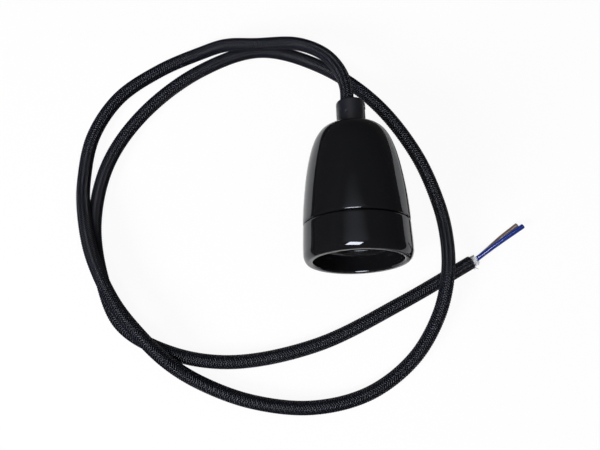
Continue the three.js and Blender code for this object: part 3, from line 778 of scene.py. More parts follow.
def tube(outer: Sequence[Sequence[float]], inner: Sequence[Sequence[float]], sides: int) -> Body:
    """A tube with a wall, from the points of its two faces.

    Args:
        outer: points of the outer face, ring after ring.
        inner: points of the inner face, in the same order.
        sides: how many points a ring has.

    Returns:
        The body, in the points' own units.
    """
    count = len(outer) // sides
    order = [*range(count), *range(2 * count - 1, count - 1, -1)]
    rings = [range(i * sides, (i + 1) * sides) for i in order]
    return Body(np.array([*outer, *inner], float), skins(rings, looped=True))


def box(size: Triple, centre: Triple) -> Body:
    """A plain box in the holder's axes.

    Args:
        size: its sides across, along and up.
        centre: its middle.

    Returns:
        The body.
    """
    signs = np.array([(x, y, z) for x in (-0.5, 0.5) for y in (-0.5, 0.5) for z in (-0.5, 0.5)])
    faces = [(0, 1, 3, 2), (4, 6, 7, 5), (0, 4, 5, 1), (2, 3, 7, 6), (0, 2, 6, 4), (1, 5, 7, 3)]
    return Body(signs * np.array(size) + np.array(centre), faces)


def ease(value: float, low: float, high: float) -> float:
    """A soft step from 0 at one value to 1 at another.

    Args:
        value: where it is asked for.
        low: where it is 0, and stays so beyond.
        high: where it is 1, and stays so beyond; it may be the lesser of the two.

    Returns:
        From 0 to 1.
    """
    share = min(1.0, max(0.0, (value - low) / (high - low)))
    return share * share * (3 - 2 * share)


def shade(piece: bpy.types.Object, across: float) -> None:
    """Marks a plain textile piece for the yarn's painted gap shade: 0 unshaded, as a yarn's middle, 1 fully
    shaded, as its gap.
    """
    marks = piece.data.attributes.new("yarn_across", "FLOAT", "POINT")
    marks.data.foreach_set("value", np.full(len(piece.data.vertices), across, np.float32))


def bake(piece: bpy.types.Object) -> bpy.types.Object:
    """Keeps what a piece's modifiers make as its plain mesh.

    Args:
        piece: the object, with its modifiers.

    Returns:
        The object, with no modifier left.
    """
    bpy.context.view_layer.update()
    evaluated = piece.evaluated_get(bpy.context.evaluated_depsgraph_get())
    mesh = bpy.data.meshes.new_from_object(evaluated)
    piece.modifiers.clear()
    piece.data = mesh
    return piece


def soften(piece: bpy.types.Object, width_mm: float, segments: int = 2) -> bpy.types.Object:
    """Rounds a piece's hard edges.

    Args:
        piece: the object.
        width_mm: how wide the rounding is.
        segments: how many faces it has.

    Returns:
        The object, with a plain mesh.
    """
    bevel = piece.modifiers.new("Rounded edges", "BEVEL")
    bevel.width = width_mm * MM
    bevel.segments = segments
    bevel.limit_method = "ANGLE"
    bake(piece)
    piece.data.shade_smooth()
    piece.data.set_sharp_from_angle(angle=math.radians(SOFT_CREASE_DEG))
    return piece


def wavy(points: np.ndarray, height: float, length: float, seed: float) -> np.ndarray:
    """Moves points of a turned body in and out by a soft wave, as hand-dipped glaze lies.

    Args:
        points: rows of across, along and up, in millimetres.
        height: how far a point may move.
        length: how long the waves are.
        seed: shifts the pattern.

    Returns:
        The moved points.
    """
    moved = points.copy()
    for row in moved:
        radius = math.hypot(row[0], row[2])
        if radius > 1e-6:
            lift = height * noise.noise(Vector(row / length) + Vector((seed, seed, seed)))
            row[0] *= 1 + lift / radius
            row[2] *= 1 + lift / radius
    return moved


class Route:
    """A smooth line through points, with a frame that doesn't twist along it."""

    def __init__(self, points: Sequence[Triple], spacing: float = 0.5) -> None:
        """Runs a centripetal curve through the points and measures it.

        Args:
            points: points in the row frame, in millimetres.
            spacing: distance between samples.
        """
        dense = self.curve(np.array(points, float))
        steps = np.linalg.norm(np.diff(dense, axis=0), axis=1)
        at = np.concatenate([[0.0], np.cumsum(steps)])
        self.length = float(at[-1])
        self.at = np.linspace(0, self.length, max(2, round(self.length / spacing) + 1))
        self.points = np.stack([np.interp(self.at, at, dense[:, i]) for i in range(3)], axis=1)
        ahead = np.gradient(self.points, self.at, axis=0)
        self.ahead = ahead / np.linalg.norm(ahead, axis=1)[:, None]
        self.side = self.carried_side()

    @staticmethod
    def curve(points: np.ndarray, pieces: int = 24) -> np.ndarray:
        """Samples a centripetal curve through points.

        Args:
            points: rows of x, y, z.
            pieces: samples between two points.

        Returns:
            Rows of x, y, z, from the first point to the last.
        """
        if len(points) == 2:
            return np.linspace(points[0], points[1], pieces + 1)
        held = np.vstack([2 * points[0] - points[1], points, 2 * points[-1] - points[-2]])
        samples = []
        for p0, p1, p2, p3 in zip(held, held[1:], held[2:], held[3:]):
            d0, d1, d2 = (max(1e-4, math.sqrt(np.linalg.norm(b - a)))
                          for a, b in ((p0, p1), (p1, p2), (p2, p3)))
            t1 = ((p1 - p0) / d0 - (p2 - p0) / (d0 + d1) + (p2 - p1) / d1) * d1
            t2 = ((p2 - p1) / d1 - (p3 - p1) / (d1 + d2) + (p3 - p2) / d2) * d1
            for t in np.arange(pieces) / pieces:
                samples.append(p1 + t1 * t + (3 * (p2 - p1) - 2 * t1 - t2) * t ** 2
                               + (2 * (p1 - p2) + t1 + t2) * t ** 3)
        return np.vstack([samples, points[-1]])

    def carried_side(self) -> np.ndarray:
        """A sideways direction at each sample, carried along without twisting.

        Returns:
            Rows of x, y, z.
        """
        first = np.cross(self.ahead[0], [0.0, 0.0, 1.0])
        sides = [first / np.linalg.norm(first)]
        for ahead in self.ahead[1:]:
            side = sides[-1] - ahead * np.dot(sides[-1], ahead)
            sides.append(side / np.linalg.norm(side))
        return np.array(sides)

    def frame_at(self, distance: float) -> tuple[np.ndarray, np.ndarray, np.ndarray, np.ndarray]:
        """The line's own frame at a distance along it, straight on past its ends.

        Args:
            distance: millimetres from the line's start.

        Returns:
            Point, direction, side and up.
        """
        held = min(max(distance, 0.0), self.length)
        point, ahead, side = (np.array([np.interp(held, self.at, rows[:, i]) for i in range(3)])
                              for rows in (self.points, self.ahead, self.side))
        ahead /= np.linalg.norm(ahead)
        side -= ahead * np.dot(side, ahead)
        side /= np.linalg.norm(side)
        return point + ahead * (distance - held), ahead, side, np.cross(ahead, side)

    def part(self, start: float, stop: float) -> "Route":
        """The stretch between two distances, as a line of its own.

        Args:
            start: where it starts, in millimetres along this line.
            stop: where it ends.

        Returns:
            The stretch.
        """
        kept = Route.__new__(Route)
        mask = (self.at >= start) & (self.at <= stop)
        kept.at = self.at[mask] - self.at[mask][0]
        kept.length = float(kept.at[-1])
        kept.points, kept.ahead, kept.side = self.points[mask], self.ahead[mask], self.side[mask]
        return kept

    def metres(self, every: int = 1) -> np.ndarray:
        """The samples in metres, with the last one always kept."""
        return np.vstack([self.points[:-1:every], self.points[-1]]) * MM


def swept(route: Route, profile: Sequence[Pair], sides: int, start_angle: float = 0.0) -> Body:
    """A round body along a route, whose radius follows a profile.

    Args:
        route: the line it follows.
        profile: pairs of distance along the route and radius; distances may run back, for a bore.
        sides: how many sides it has.
        start_angle: where its first side points, in degrees.

    Returns:
        The closed body, in metres.
    """
    angles = np.arange(sides) / sides * 2 * math.pi + math.radians(start_angle)
    points, rings = [], []
    for distance, radius in profile:
        point, _, side, up = route.frame_at(distance)
        first = len(points)
        if radius < 1e-9:
            points.append(point)
            rings.append([first] * sides)
        else:
            points += [point + radius * (math.cos(a) * side + math.sin(a) * up) for a in angles]
            rings.append(list(range(first, first + sides)))
    return Body(np.array(points) * MM, skins(rings))


# Geometry Nodes


def grow(tree: bpy.types.NodeTree, name: str, base: bpy.types.Mesh | None,
         values: dict[str, Any]) -> bpy.types.Object:
    """Runs a geometry tree and keeps what it makes as a plain mesh.

    Args:
        tree: the geometry tree.
        name: name of the new object.
        base: the mesh that the tree starts from, or None.
        values: the value of each of the tree's inputs, by name.

    Returns:
        The new object, with no modifier left.
    """
    start = show(bpy.data.objects.new(name + "_start", base or bpy.data.meshes.new(name + "_start")))
    modifier = start.modifiers.new("Tree", "NODES")
    modifier.node_group = tree
    for item in tree.interface.items_tree:
        if item.item_type == "SOCKET" and item.in_out == "INPUT" and item.name in values:
            modifier[item.identifier] = values[item.name]
    mesh = bake(start).data
    mesh.name = name
    bpy.data.objects.remove(start)
    return show(bpy.data.objects.new(name, mesh))


def geometry_tree(name: str, inputs: Sequence[tuple[str, str]]) -> tuple[TreeDraft, bpy.types.Node]:
    """Starts a geometry tree with its sockets.

    Args:
        name: the tree's name.
        inputs: name and socket type of each input.

    Returns:
        The tree's draft and its group input.
    """
    draft = TreeDraft(bpy.data.node_groups.new(name, "GeometryNodeTree"))
    for label, kind in inputs:
        draft.socket(label, kind)
    draft.socket("Geometry", "NodeSocketGeometry", out=True)
    return draft, draft.add("NodeGroupInput")


def end_tree(draft: TreeDraft, start: bpy.types.Node, result: bpy.types.NodeSocket) -> bpy.types.NodeTree:
    """Ends a tree in Realize Instances and Set Material.

    Args:
        draft: the tree's draft.
        start: its group input, which has a Material socket.
        result: the geometry to put out.

    Returns:
        The finished tree.
    """
    smooth = draft.add("GeometryNodeSetShadeSmooth", {0: result})
    real = draft.add("GeometryNodeRealizeInstances", {0: smooth.outputs[0]})
    dressed = draft.add("GeometryNodeSetMaterial", {
        "Geometry": real.outputs[0], "Material": start.outputs["Material"]})
    end = draft.add("NodeGroupOutput")
    draft.link(dressed.outputs[0], end.inputs["Geometry"])
    return draft.tree


def braid_tree() -> bpy.types.NodeTree:
    """Builds the tree that lays one hand of braiding yarns along a line.

    Each yarn winds around the line and goes over two and under two yarns of the other hand, so that the
    hands show in turn in columns along the cord.

    Returns:
        The tree.
    """
    draft, start = geometry_tree("Braiding yarns", [
        ("Geometry", "NodeSocketGeometry"), ("Steps", "NodeSocketInt"), ("Yarns", "NodeSocketInt"),
        ("Radius", "NodeSocketFloat"), ("Relief", "NodeSocketFloat"), ("Lay", "NodeSocketFloat"),
        ("Hand", "NodeSocketFloat"), ("Yarn Width", "NodeSocketFloat"),
        ("Yarn Height", "NodeSocketFloat"), ("Material", "NodeSocketMaterial")])
    given = start.outputs
    line = draft.add("GeometryNodeMeshToCurve", {0: given["Geometry"]}).outputs[0]
    even = draft.add("GeometryNodeResampleCurve", {"Curve": line, "Count": given["Steps"]}, mode="COUNT")
    steady = draft.add("GeometryNodeSetCurveNormal", {"Curve": even.outputs[0]}, mode="MINIMUM_TWIST")
    copies = draft.add("GeometryNodeDuplicateElements", {
        "Geometry": steady.outputs[0], "Amount": given["Yarns"]}, domain="SPLINE")
    along = draft.add("GeometryNodeSplineParameter").outputs["Length"]
    turns = draft.math("DIVIDE", along, given["Lay"])
    share = draft.math("DIVIDE", copies.outputs["Duplicate Index"], given["Yarns"])
    wound_turns = draft.math("ADD", draft.math("MULTIPLY", turns, given["Hand"]), share)
    angle = draft.math("MULTIPLY", wound_turns, 2 * math.pi)
    columns = draft.math("MULTIPLY", draft.math("MULTIPLY", angle, given["Yarns"]), 0.5)
    weave = draft.math("COSINE", draft.math("ADD", columns, math.pi / 4))
    lift = draft.math("MULTIPLY", weave, given["Hand"])
    reach = draft.math("ADD", given["Radius"], draft.math("MULTIPLY", lift, given["Relief"]))
    normal = draft.add("GeometryNodeInputNormal").outputs["Normal"]
    ahead = draft.add("GeometryNodeInputTangent").outputs["Tangent"]
    third = draft.vector("CROSS_PRODUCT", ahead, normal)
    out = draft.vector("ADD", draft.scaled(normal, draft.math("COSINE", angle)),
                       draft.scaled(third, draft.math("SINE", angle)))
    keep = draft.add("GeometryNodeCaptureAttribute", {"Geometry": copies.outputs["Geometry"]})
    for kind, label, value in (
            ("VECTOR", "Outwards", out), ("FLOAT", "Along", along), ("FLOAT", "Lift", lift)):
        keep.capture_items.new(kind, label)
        draft.link(value, keep.inputs[label])
    offset = draft.scaled(out, reach)
    wound = draft.add("GeometryNodeSetPosition", {"Geometry": keep.outputs["Geometry"], "Offset": offset})
    facing = draft.add("GeometryNodeSetCurveNormal", {
        "Curve": wound.outputs[0], "Normal": keep.outputs["Outwards"]}, mode="FREE")
    named = draft.add("GeometryNodeStoreNamedAttribute", {
        "Geometry": facing.outputs[0], "Name": "yarn_along", "Value": keep.outputs["Along"]},
        data_type="FLOAT", domain="POINT")
    raised = draft.add("GeometryNodeStoreNamedAttribute", {
        "Geometry": named.outputs[0], "Name": "yarn_lift", "Value": keep.outputs["Lift"]},
        data_type="FLOAT", domain="POINT")
    ring = draft.add("GeometryNodeCurvePrimitiveCircle", {"Resolution": 3, "Radius": 1.0}, mode="RADIUS")
    spot = draft.add("ShaderNodeSeparateXYZ", {0: draft.add("GeometryNodeInputPosition").outputs[0]})
    marked = draft.add("GeometryNodeStoreNamedAttribute", {
        "Geometry": ring.outputs[0], "Name": "yarn_across", "Value": spot.outputs["Y"]},
        data_type="FLOAT", domain="POINT")
    half = draft.add("ShaderNodeCombineXYZ", {
        "X": draft.math("MULTIPLY", given["Yarn Height"], 0.5),
        "Y": draft.math("MULTIPLY", given["Yarn Width"], math.sqrt(1 / 3)), "Z": 1.0})
    flat = draft.add("GeometryNodeTransform", {"Geometry": marked.outputs[0], "Scale": half.outputs[0]})
    yarns = draft.add("GeometryNodeCurveToMesh", {
        "Curve": raised.outputs[0], "Profile Curve": flat.outputs[0], "Fill Caps": True})
    return end_tree(draft, start, yarns.outputs[0])


def tuft_tree() -> bpy.types.NodeTree:
    """Builds the tree for loose yarn ends that stand around a cut edge.

    Returns:
        The tree, which works about its own Z axis.
    """
    draft, start = geometry_tree("Loose yarn ends", [
        ("Count", "NodeSocketInt"), ("Radius", "NodeSocketFloat"), ("Length", "NodeSocketFloat"),
        ("Thickness", "NodeSocketFloat"), ("Flare", "NodeSocketFloat"), ("Seed", "NodeSocketInt"),
        ("Material", "NodeSocketMaterial")])
    given = start.outputs
    ring = draft.add("GeometryNodeMeshCircle", {"Vertices": given["Count"], "Radius": given["Radius"]})
    top = draft.add("ShaderNodeCombineXYZ", {"Z": given["Length"]})
    stem = draft.add("GeometryNodeCurvePrimitiveLine", {"End": top.outputs[0]})
    parts = draft.add("GeometryNodeResampleCurve", {"Curve": stem.outputs[0], "Count": 5}, mode="COUNT")
    share = draft.add("GeometryNodeSplineParameter").outputs["Factor"]
    bow = draft.math("MULTIPLY", draft.math("POWER", share, 2.0),
                     draft.math("MULTIPLY", given["Length"], 0.45))
    bent = draft.add("GeometryNodeSetPosition", {
        "Geometry": parts.outputs[0], "Offset": draft.add("ShaderNodeCombineXYZ", {"X": bow}).outputs[0]})
    taper = draft.math("SUBTRACT", 1.0, draft.math("MULTIPLY", share, 0.6))
    thick = draft.add("GeometryNodeSetCurveRadius", {"Curve": bent.outputs[0], "Radius": taper})
    section = draft.add("GeometryNodeCurvePrimitiveCircle", {
        "Resolution": 5, "Radius": given["Thickness"]}, mode="RADIUS")
    bristle = draft.add("GeometryNodeCurveToMesh", {
        "Curve": thick.outputs[0], "Profile Curve": section.outputs[0], "Fill Caps": True})
    if "Scale" in bristle.inputs:
        draft.link(draft.add("GeometryNodeInputRadius").outputs[0], bristle.inputs["Scale"])
    spot = draft.add("GeometryNodeInputPosition").outputs[0]
    away = draft.vector("NORMALIZE", spot)
    heading = draft.vector("ADD", draft.scaled(away, given["Flare"]), (0.0, 0.0, 1.0))
    jitter = draft.add("FunctionNodeRandomValue", {
        "Min": (-0.35, -0.35, -0.2), "Max": (0.35, 0.35, 0.2), "Seed": given["Seed"]},
        data_type="FLOAT_VECTOR")
    lean = draft.vector("ADD", heading, jitter.outputs[0])
    turn = draft.add("FunctionNodeAlignRotationToVector", {"Vector": lean}, axis="Z")
    size = draft.add("FunctionNodeRandomValue", data_type="FLOAT")
    size.inputs[2].default_value = 0.35
    size.inputs[3].default_value = 1.0
    draft.link(given["Seed"], size.inputs["Seed"])
    ends = draft.add("GeometryNodeInstanceOnPoints", {
        "Points": ring.outputs[0], "Instance": bristle.outputs[0], "Rotation": turn.outputs[0],
        "Scale": size.outputs[1]})
    return end_tree(draft, start, ends.outputs[0])


def row_tree() -> bpy.types.NodeTree:
    """Builds the tree that repeats a small fastener along a straight row.

    Returns:
        The tree.
    """
    draft, start = geometry_tree("Row of fasteners", [
        ("Geometry", "NodeSocketGeometry"), ("Count", "NodeSocketInt"), ("First", "NodeSocketVector"),
        ("Step", "NodeSocketVector"), ("Material", "NodeSocketMaterial")])
    given = start.outputs
    spots = draft.add("GeometryNodeMeshLine", {
        "Count": given["Count"], "Start Location": given["First"], "Offset": given["Step"]}, mode="OFFSET")
    copies = draft.add("GeometryNodeInstanceOnPoints", {
        "Points": spots.outputs[0], "Instance": given["Geometry"]})
    return end_tree(draft, start, copies.outputs[0])


# Sub-assemblies


@dataclass
class GlazedShells:
    """The dome cap and the skirt ring of the holder, glazed all over."""

    axes: HolderAxes
    shelf: MaterialShelf
    mouth_outer: float = 23.75
    seam_radius: float = 23.3
    seam_height: float = 16.4
    height: float = 62.7
    seat_radius: float = 6.9
    seam_round: float = 0.8
    lip_round: float = 2.3
    lip_stretch: float = 1.5
    lip_lead: float = 8.0
    lip_lean: float = 0.42
    mouth_skew: float = 0.55
    seat_gap: float = 0.3
    glaze_wave: float = 0.05
    glaze_wave_length: float = 11.0
    sides: int = 240

    def dome_profile(self) -> list[Pair]:
        """Section of the dome cap.

        Returns:
            A loop of radius and height.
        """
        bottom = self.seam_height + self.seat_gap
        edge = arc((self.seam_radius - self.seam_round, bottom + self.seam_round), self.seam_round,
                   -90, 0, 8)
        outside = meridian((self.seam_radius, bottom + 2 * self.seam_round),
                           (self.seat_radius, self.height), 96)
        inside = meridian((17.7, 37.1), (8.0, 58.5), 24)[::-1]
        return [(19.6, bottom), *edge, *outside, (5.3, self.height), (5.3, 58.5), *inside,
                (17.7, 28.0), (19.6, 28.0)]

    def skirt_profile(self) -> list[Pair]:
        """Section of the skirt ring.

        Returns:
            A loop of radius and height.
        """
        seam = arc((self.seam_radius - self.seam_round, self.seam_height - self.seam_round),
                   self.seam_round, 0, 90, 8)
        lip = arc((self.mouth_outer - self.lip_round, self.lip_stretch * self.lip_round), self.lip_round,
                  -90, 0, 24, self.lip_stretch)
        return [(16.5, 24.4), *arc((18.5, 9.7), 0.4, 90, 0, 8), *arc((20.4, 0.95), 0.95, 180, 270, 10),
                *lip, *seam, (19.3, self.seam_height), (19.3, 24.0), (18.9, 24.4)]

    def lead_in(self, profile: Sequence[Pair]) -> list[Pair]:
        """Lets the skirt's outside lean in a little before its lip, as glaze draws back from an edge.

        Args:
            profile: pairs of radius and height.

        Returns:
            The changed profile.
        """
        start = self.mouth_outer - self.lip_round
        leaned = []
        for radius, height in profile:
            lean = self.lip_lean * max(0.0, 1 - height / self.lip_lead) ** 2
            leaned.append((radius - lean * max(0.0, radius - start) / self.lip_round, height))
        return leaned

    def skew(self, points: np.ndarray) -> np.ndarray:
        """Sets the mouth a little out of square, as a pressed and fired ring is.

        Args:
            points: rows of across, along and up, in millimetres.

        Returns:
            The moved points.
        """
        share = np.clip(1 - points[:, 1] / self.seam_height, 0, 1)
        moved = points.copy()
        moved[:, 1] += self.mouth_skew * share * points[:, 2] / self.mouth_outer
        return moved

    def build(self) -> list[bpy.types.Object]:
        """Builds both shells.

        Returns:
            The dome and the skirt.
        """
        pieces = []
        for name, profile, node, seed in (
                ("dome_shell", self.dome_profile(), "dome_cap", 3.0),
                ("skirt_shell", self.skirt_profile(), "skirt_ring", 11.0)):
            body = turned(self.lead_in(finer(profile, 1.0)), self.sides)
            dipped = body.moved(lambda p: wavy(p, self.glaze_wave, self.glaze_wave_length, seed))
            piece = dipped.moved(self.skew).moved(self.axes.place).build(name, self.shelf.get(Slot.GLAZE))
            pieces.append(settle(piece, Slot.GLAZE, node))
        return pieces


@dataclass
class LampSocket:
    """The bare ceramic insert with its rolled thread shell, contact, rivets and terminal screws."""

    axes: HolderAxes
    shelf: MaterialShelf
    pitch: float = 3.629
    minor: float = 12.22
    major: float = 13.3
    wall: float = 0.45
    bottom: float = 12.0
    top: float = 33.3
    plain_top: float = 2.0
    run_out: float = 1.6
    floor_bottom: float = 33.6
    floor_top: float = 37.1
    sides: int = 144
    rows_per_pitch: int = 20

    def insert(self) -> bpy.types.Object:
        """Builds the insert with a barrier between its terminals.

        Returns:
            The insert.
        """
        profile = [(0.0, self.floor_bottom), (14.1, self.floor_bottom),
                   *arc((14.5, 11.8), 0.4, 180, 270, 4), *arc((15.8, 11.8), 0.4, -90, 0, 4),
                   (16.2, 24.7), (19.3, 24.7), (19.3, 27.7), (17.2, 27.7), (17.2, self.floor_top),
                   (0.0, self.floor_top)]
        body = turned(finer(profile, 2.0), 128)
        barrier = box((2.4, 5.5, 26.0), (0.0, self.floor_top + 2.25, 0.0))
        piece = body.joined(barrier).moved(self.axes.place).build("insert", self.shelf.get(Slot.STEATITE))
        return settle(piece, Slot.STEATITE, "socket_insert")

    def shell_radius(self, height: float, angle: float) -> float:
        """Radius of the thread shell's inner face: a helical wave that fades into plain ends.

        Args:
            height: millimetres along the holder's axis.
            angle: radians around it.

        Returns:
            Millimetres.
        """
        thread_top = self.top - self.plain_top
        fade = ease(height, self.bottom, self.bottom + self.run_out) \
            * (1 - ease(height, thread_top - self.run_out, thread_top))
        wave = math.cos(2 * math.pi * height / self.pitch - angle)
        return (self.major + self.minor) / 2 + (self.major - self.minor) / 2 * fade * wave

    def thread_shell(self) -> bpy.types.Object:
        """Builds the rolled thread shell with the tab that its rivet holds.

        Returns:
            The shell.
        """
        rows = round((self.top - self.bottom) / self.pitch * self.rows_per_pitch)
        outer, inner = [], []
        for row in range(rows + 1):
            height = self.bottom + (self.top - self.bottom) * row / rows
            for side in range(self.sides):
                angle = side / self.sides * 2 * math.pi
                for face, wall in ((outer, self.wall), (inner, 0.0)):
                    radius = self.shell_radius(height, angle) + wall
                    face.append((radius * math.sin(angle), height, radius * math.cos(angle)))
        tab = box((6.6, self.wall, 6.4), (-9.8, self.top - self.wall / 2, 0.0))
        body = tube(outer, inner, self.sides).joined(tab).moved(self.axes.place)
        return settle(body.build("thread_shell", self.shelf.get(Slot.NICKEL)), Slot.NICKEL, "screw_shell")

    def contact(self) -> bpy.types.Object:
        """Builds the sprung centre contact from a bent strip with soft bends.

        Returns:
            The contact.
        """
        level = self.floor_top + 0.6
        knee = self.floor_bottom - 0.6
        tongue = self.floor_bottom - 3.9
        corners = np.array([(12.6, level), (9.0, level), (6.0, level), (5.35, level - 0.65),
                            (5.3, level - 2.0), (5.3, knee + 0.8), (5.0, knee), (3.6, knee - 1.4),
                            (1.6, tongue - 0.05), (0.0, tongue - 0.2), (-1.6, tongue + 0.1),
                            (-3.0, tongue + 0.8)])
        flat = Route.curve(np.c_[corners, np.zeros(len(corners))], 4)[:, :2]
        ahead = np.gradient(flat, axis=0)
        normal = np.stack([-ahead[:, 1], ahead[:, 0]], 1) / np.linalg.norm(ahead, axis=1)[:, None]
        points, faces = [], []
        count = len(flat)
        for z in (-2.5, 2.5):
            for sign in (0.3, -0.3):
                points += [(x, y, z) for x, y in flat + normal * sign]
        for i in range(count - 1):
            for a, b in ((0, 1), (1, 3), (3, 2), (2, 0)):
                faces.append((a * count + i, a * count + i + 1, b * count + i + 1, b * count + i))
        for i in (0, count - 1):
            faces.append((i, count + i, 3 * count + i, 2 * count + i))
        piece = Body(np.array(points), faces).moved(self.axes.place).build(
            "contact_strip", self.shelf.get(Slot.BRONZE), 60)
        return settle(soften(piece, 0.1), Slot.BRONZE, "centre_contact")

    def fasteners(self) -> list[bpy.types.Object]:
        """Builds the two rivets and the two terminal screws, each pair as one row.

        Returns:
            The rivets and the screws.
        """
        rivet = turned([(0.0, -0.8), (0.9, -0.78), (1.55, -0.7), (2.0, -0.5), (2.2, -0.25), (2.2, 0.0),
                        (1.2, 0.0), (1.2, 6.0), (0.0, 6.0)], 40)
        screw = turned([(0.0, -2.3), (1.1, -2.3), (1.35, -2.05), (1.35, 0.0), (2.2, 0.0), (2.4, 0.2),
                        (2.4, 1.35), (2.15, 1.6), (0.0, 1.6)], 40)
        tree = row_tree()
        origin = self.axes.place(np.zeros((1, 3)))[0]
        pieces = []
        for name, body, slot, nodes, first, last in (
                ("rivets", rivet, Slot.BRASS, ("live_rivet", "neutral_rivet"),
                 (9.0, 33.3, 0.0), (-9.0, 32.55, 0.0)),
                ("terminal_screws", screw, Slot.ZINC, ("live_terminal_screw", "neutral_terminal_screw"),
                 (9.5, 46.0, 0.0), (-9.5, 45.1, 0.0))):
            placed = body.moved(lambda p: self.axes.place(p) - origin)
            starter = placed.build(name + "_one", self.shelf.get(slot))
            spots = self.axes.place(np.array([first, last]))
            mesh = starter.data.copy()
            bpy.data.objects.remove(starter)
            piece = grow(tree, name, mesh, {
                "Count": 2, "First": tuple(spots[0]), "Step": tuple(spots[1] - spots[0]),
                "Material": self.shelf.get(slot)})
            piece.data.set_sharp_from_angle(angle=math.radians(35))
            pieces.append(settle(piece, slot, *nodes))
        return pieces

    def build(self) -> list[bpy.types.Object]:
        """Builds every piece of the socket."""
        return [self.insert(), self.thread_shell(), self.contact(), *self.fasteners()]


@dataclass
class CordGrip:
    """The moulded cord grip: nipple, collar with its boss, and the clamp screw in the boss."""

    axes: HolderAxes
    shelf: MaterialShelf
    bottom: float = 63.0
    top: float = 75.0
    radius: float = 6.55
    round: float = 1.2
    screw_proud: float = 0.1
    bore: float = 4.2
    bore_offset: float = 0.5
    clamp_height: float = 9.2
    clamp_angle: float = 12.0
    clamp_depth: float = 1.3
    dimple_height: float = 4.9
    dimple_angle: float = 112.0
    dimple_depth: float = 0.14
    sides: int = 320

    def wall_lift(self, angle: float, height: float) -> float:
        """How far the collar's wall sinks at a place: the screw's recess and the dimple.

        Args:
            angle: degrees above the horizontal, seen along the axis.
            height: distance along the holder's axis.

        Returns:
            Millimetres, below zero inwards.
        """

        def from_spot(spot_angle: float, spot_height: float) -> float:
            """Distance to a spot along the wall."""
            turn = (angle - spot_angle + 180) % 360 - 180
            return math.hypot(math.radians(turn) * self.radius, height - spot_height)

        clamp = from_spot(self.clamp_angle, self.bottom + self.clamp_height)
        dimple = from_spot(self.dimple_angle, self.bottom + self.dimple_height)
        return -self.clamp_depth * ease(clamp, 2.0, 1.7) - self.dimple_depth * ease(dimple, 1.0, 0.1)

    def body(self) -> bpy.types.Object:
        """Builds the grip's body.

        Returns:
            The body.
        """
        wall = [(self.radius, self.bottom + 0.15), (self.radius, self.top - self.round)]
        shoulder = arc((self.radius - self.round, self.top - self.round), self.round, 0, 90, 10)
        flare = [(self.bore + 0.55, self.top), (self.bore + 0.35, self.top - 0.12),
                 (self.bore, self.top - 0.9)]
        profile = [(3.8, self.bottom + 0.5), (3.8, 53.0), (4.6, 53.0), (5.0, 53.4), (5.0, self.bottom),
                   (self.radius - 0.15, self.bottom), *finer(wall, 0.16), *shoulder[1:], *flare,
                   (self.bore, self.bottom + 0.5)]

        def shape(points: np.ndarray) -> np.ndarray:
            """Sinks the wall's recess and dimple, and moves the bore off the axis.

            Args:
                points: rows of across, along and up, in millimetres.

            Returns:
                The moved points.
            """
            moved = points.copy()
            for row in moved:
                radius = math.hypot(row[0], row[2])
                if radius > self.radius - 0.3 and row[1] > self.bottom:
                    lift = self.wall_lift(math.degrees(math.atan2(row[2], row[0])), row[1])
                    row[[0, 2]] *= 1 + lift / radius
                elif radius < self.bore + 1.3 and row[1] > self.bottom + 0.4 and radius > 3.9:
                    row[0] -= self.bore_offset
            return moved

        piece = turned(profile, self.sides).moved(shape).moved(self.axes.place).build(
            "grip_body", self.shelf.get(Slot.PLASTIC), 40)
        return settle(piece, Slot.PLASTIC, "cord_grip_body")

    def screw(self) -> bpy.types.Object:
        """Builds the slotted clamp screw in the collar's side.

        Returns:
            The screw.
        """
        end = self.radius + self.screw_proud
        outline = [(0.0, 2.6), (1.0, 2.6), (1.6, 3.3), (1.6, end - 0.15), (1.45, end), (0.0, end)]
        shank = turned(outline, 48)
        angle = math.radians(self.clamp_angle)

        def aim(points: np.ndarray) -> np.ndarray:
            """Turns the screw's own axes into the holder's, at its place in the collar.

            Args:
                points: rows of across, outwards and along, in millimetres.

            Returns:
                Rows of across, along and up.
            """
            x, out, z = points.T
            return np.stack([out * math.cos(angle) - x * math.sin(angle), z + self.bottom + self.clamp_height,
                             out * math.sin(angle) + x * math.cos(angle)], 1)

        piece = shank.moved(aim).moved(self.axes.place).build("grip_screw", self.shelf.get(Slot.PLASTIC))
        slot = box((0.7, 1.6, 6.0), (0.0, end, 0.0)).moved(aim).moved(self.axes.place).build(
            "slot_cutter", self.shelf.get(Slot.PLASTIC))
        cut = piece.modifiers.new("Slot", "BOOLEAN")
        cut.operation = "DIFFERENCE"
        cut.object = slot
        bake(piece)
        bpy.data.objects.remove(slot)
        return settle(piece, Slot.PLASTIC, "cord_grip_screw")

    def build(self) -> list[bpy.types.Object]:
        """Builds the grip and its screw."""
        return [self.body(), self.screw()]


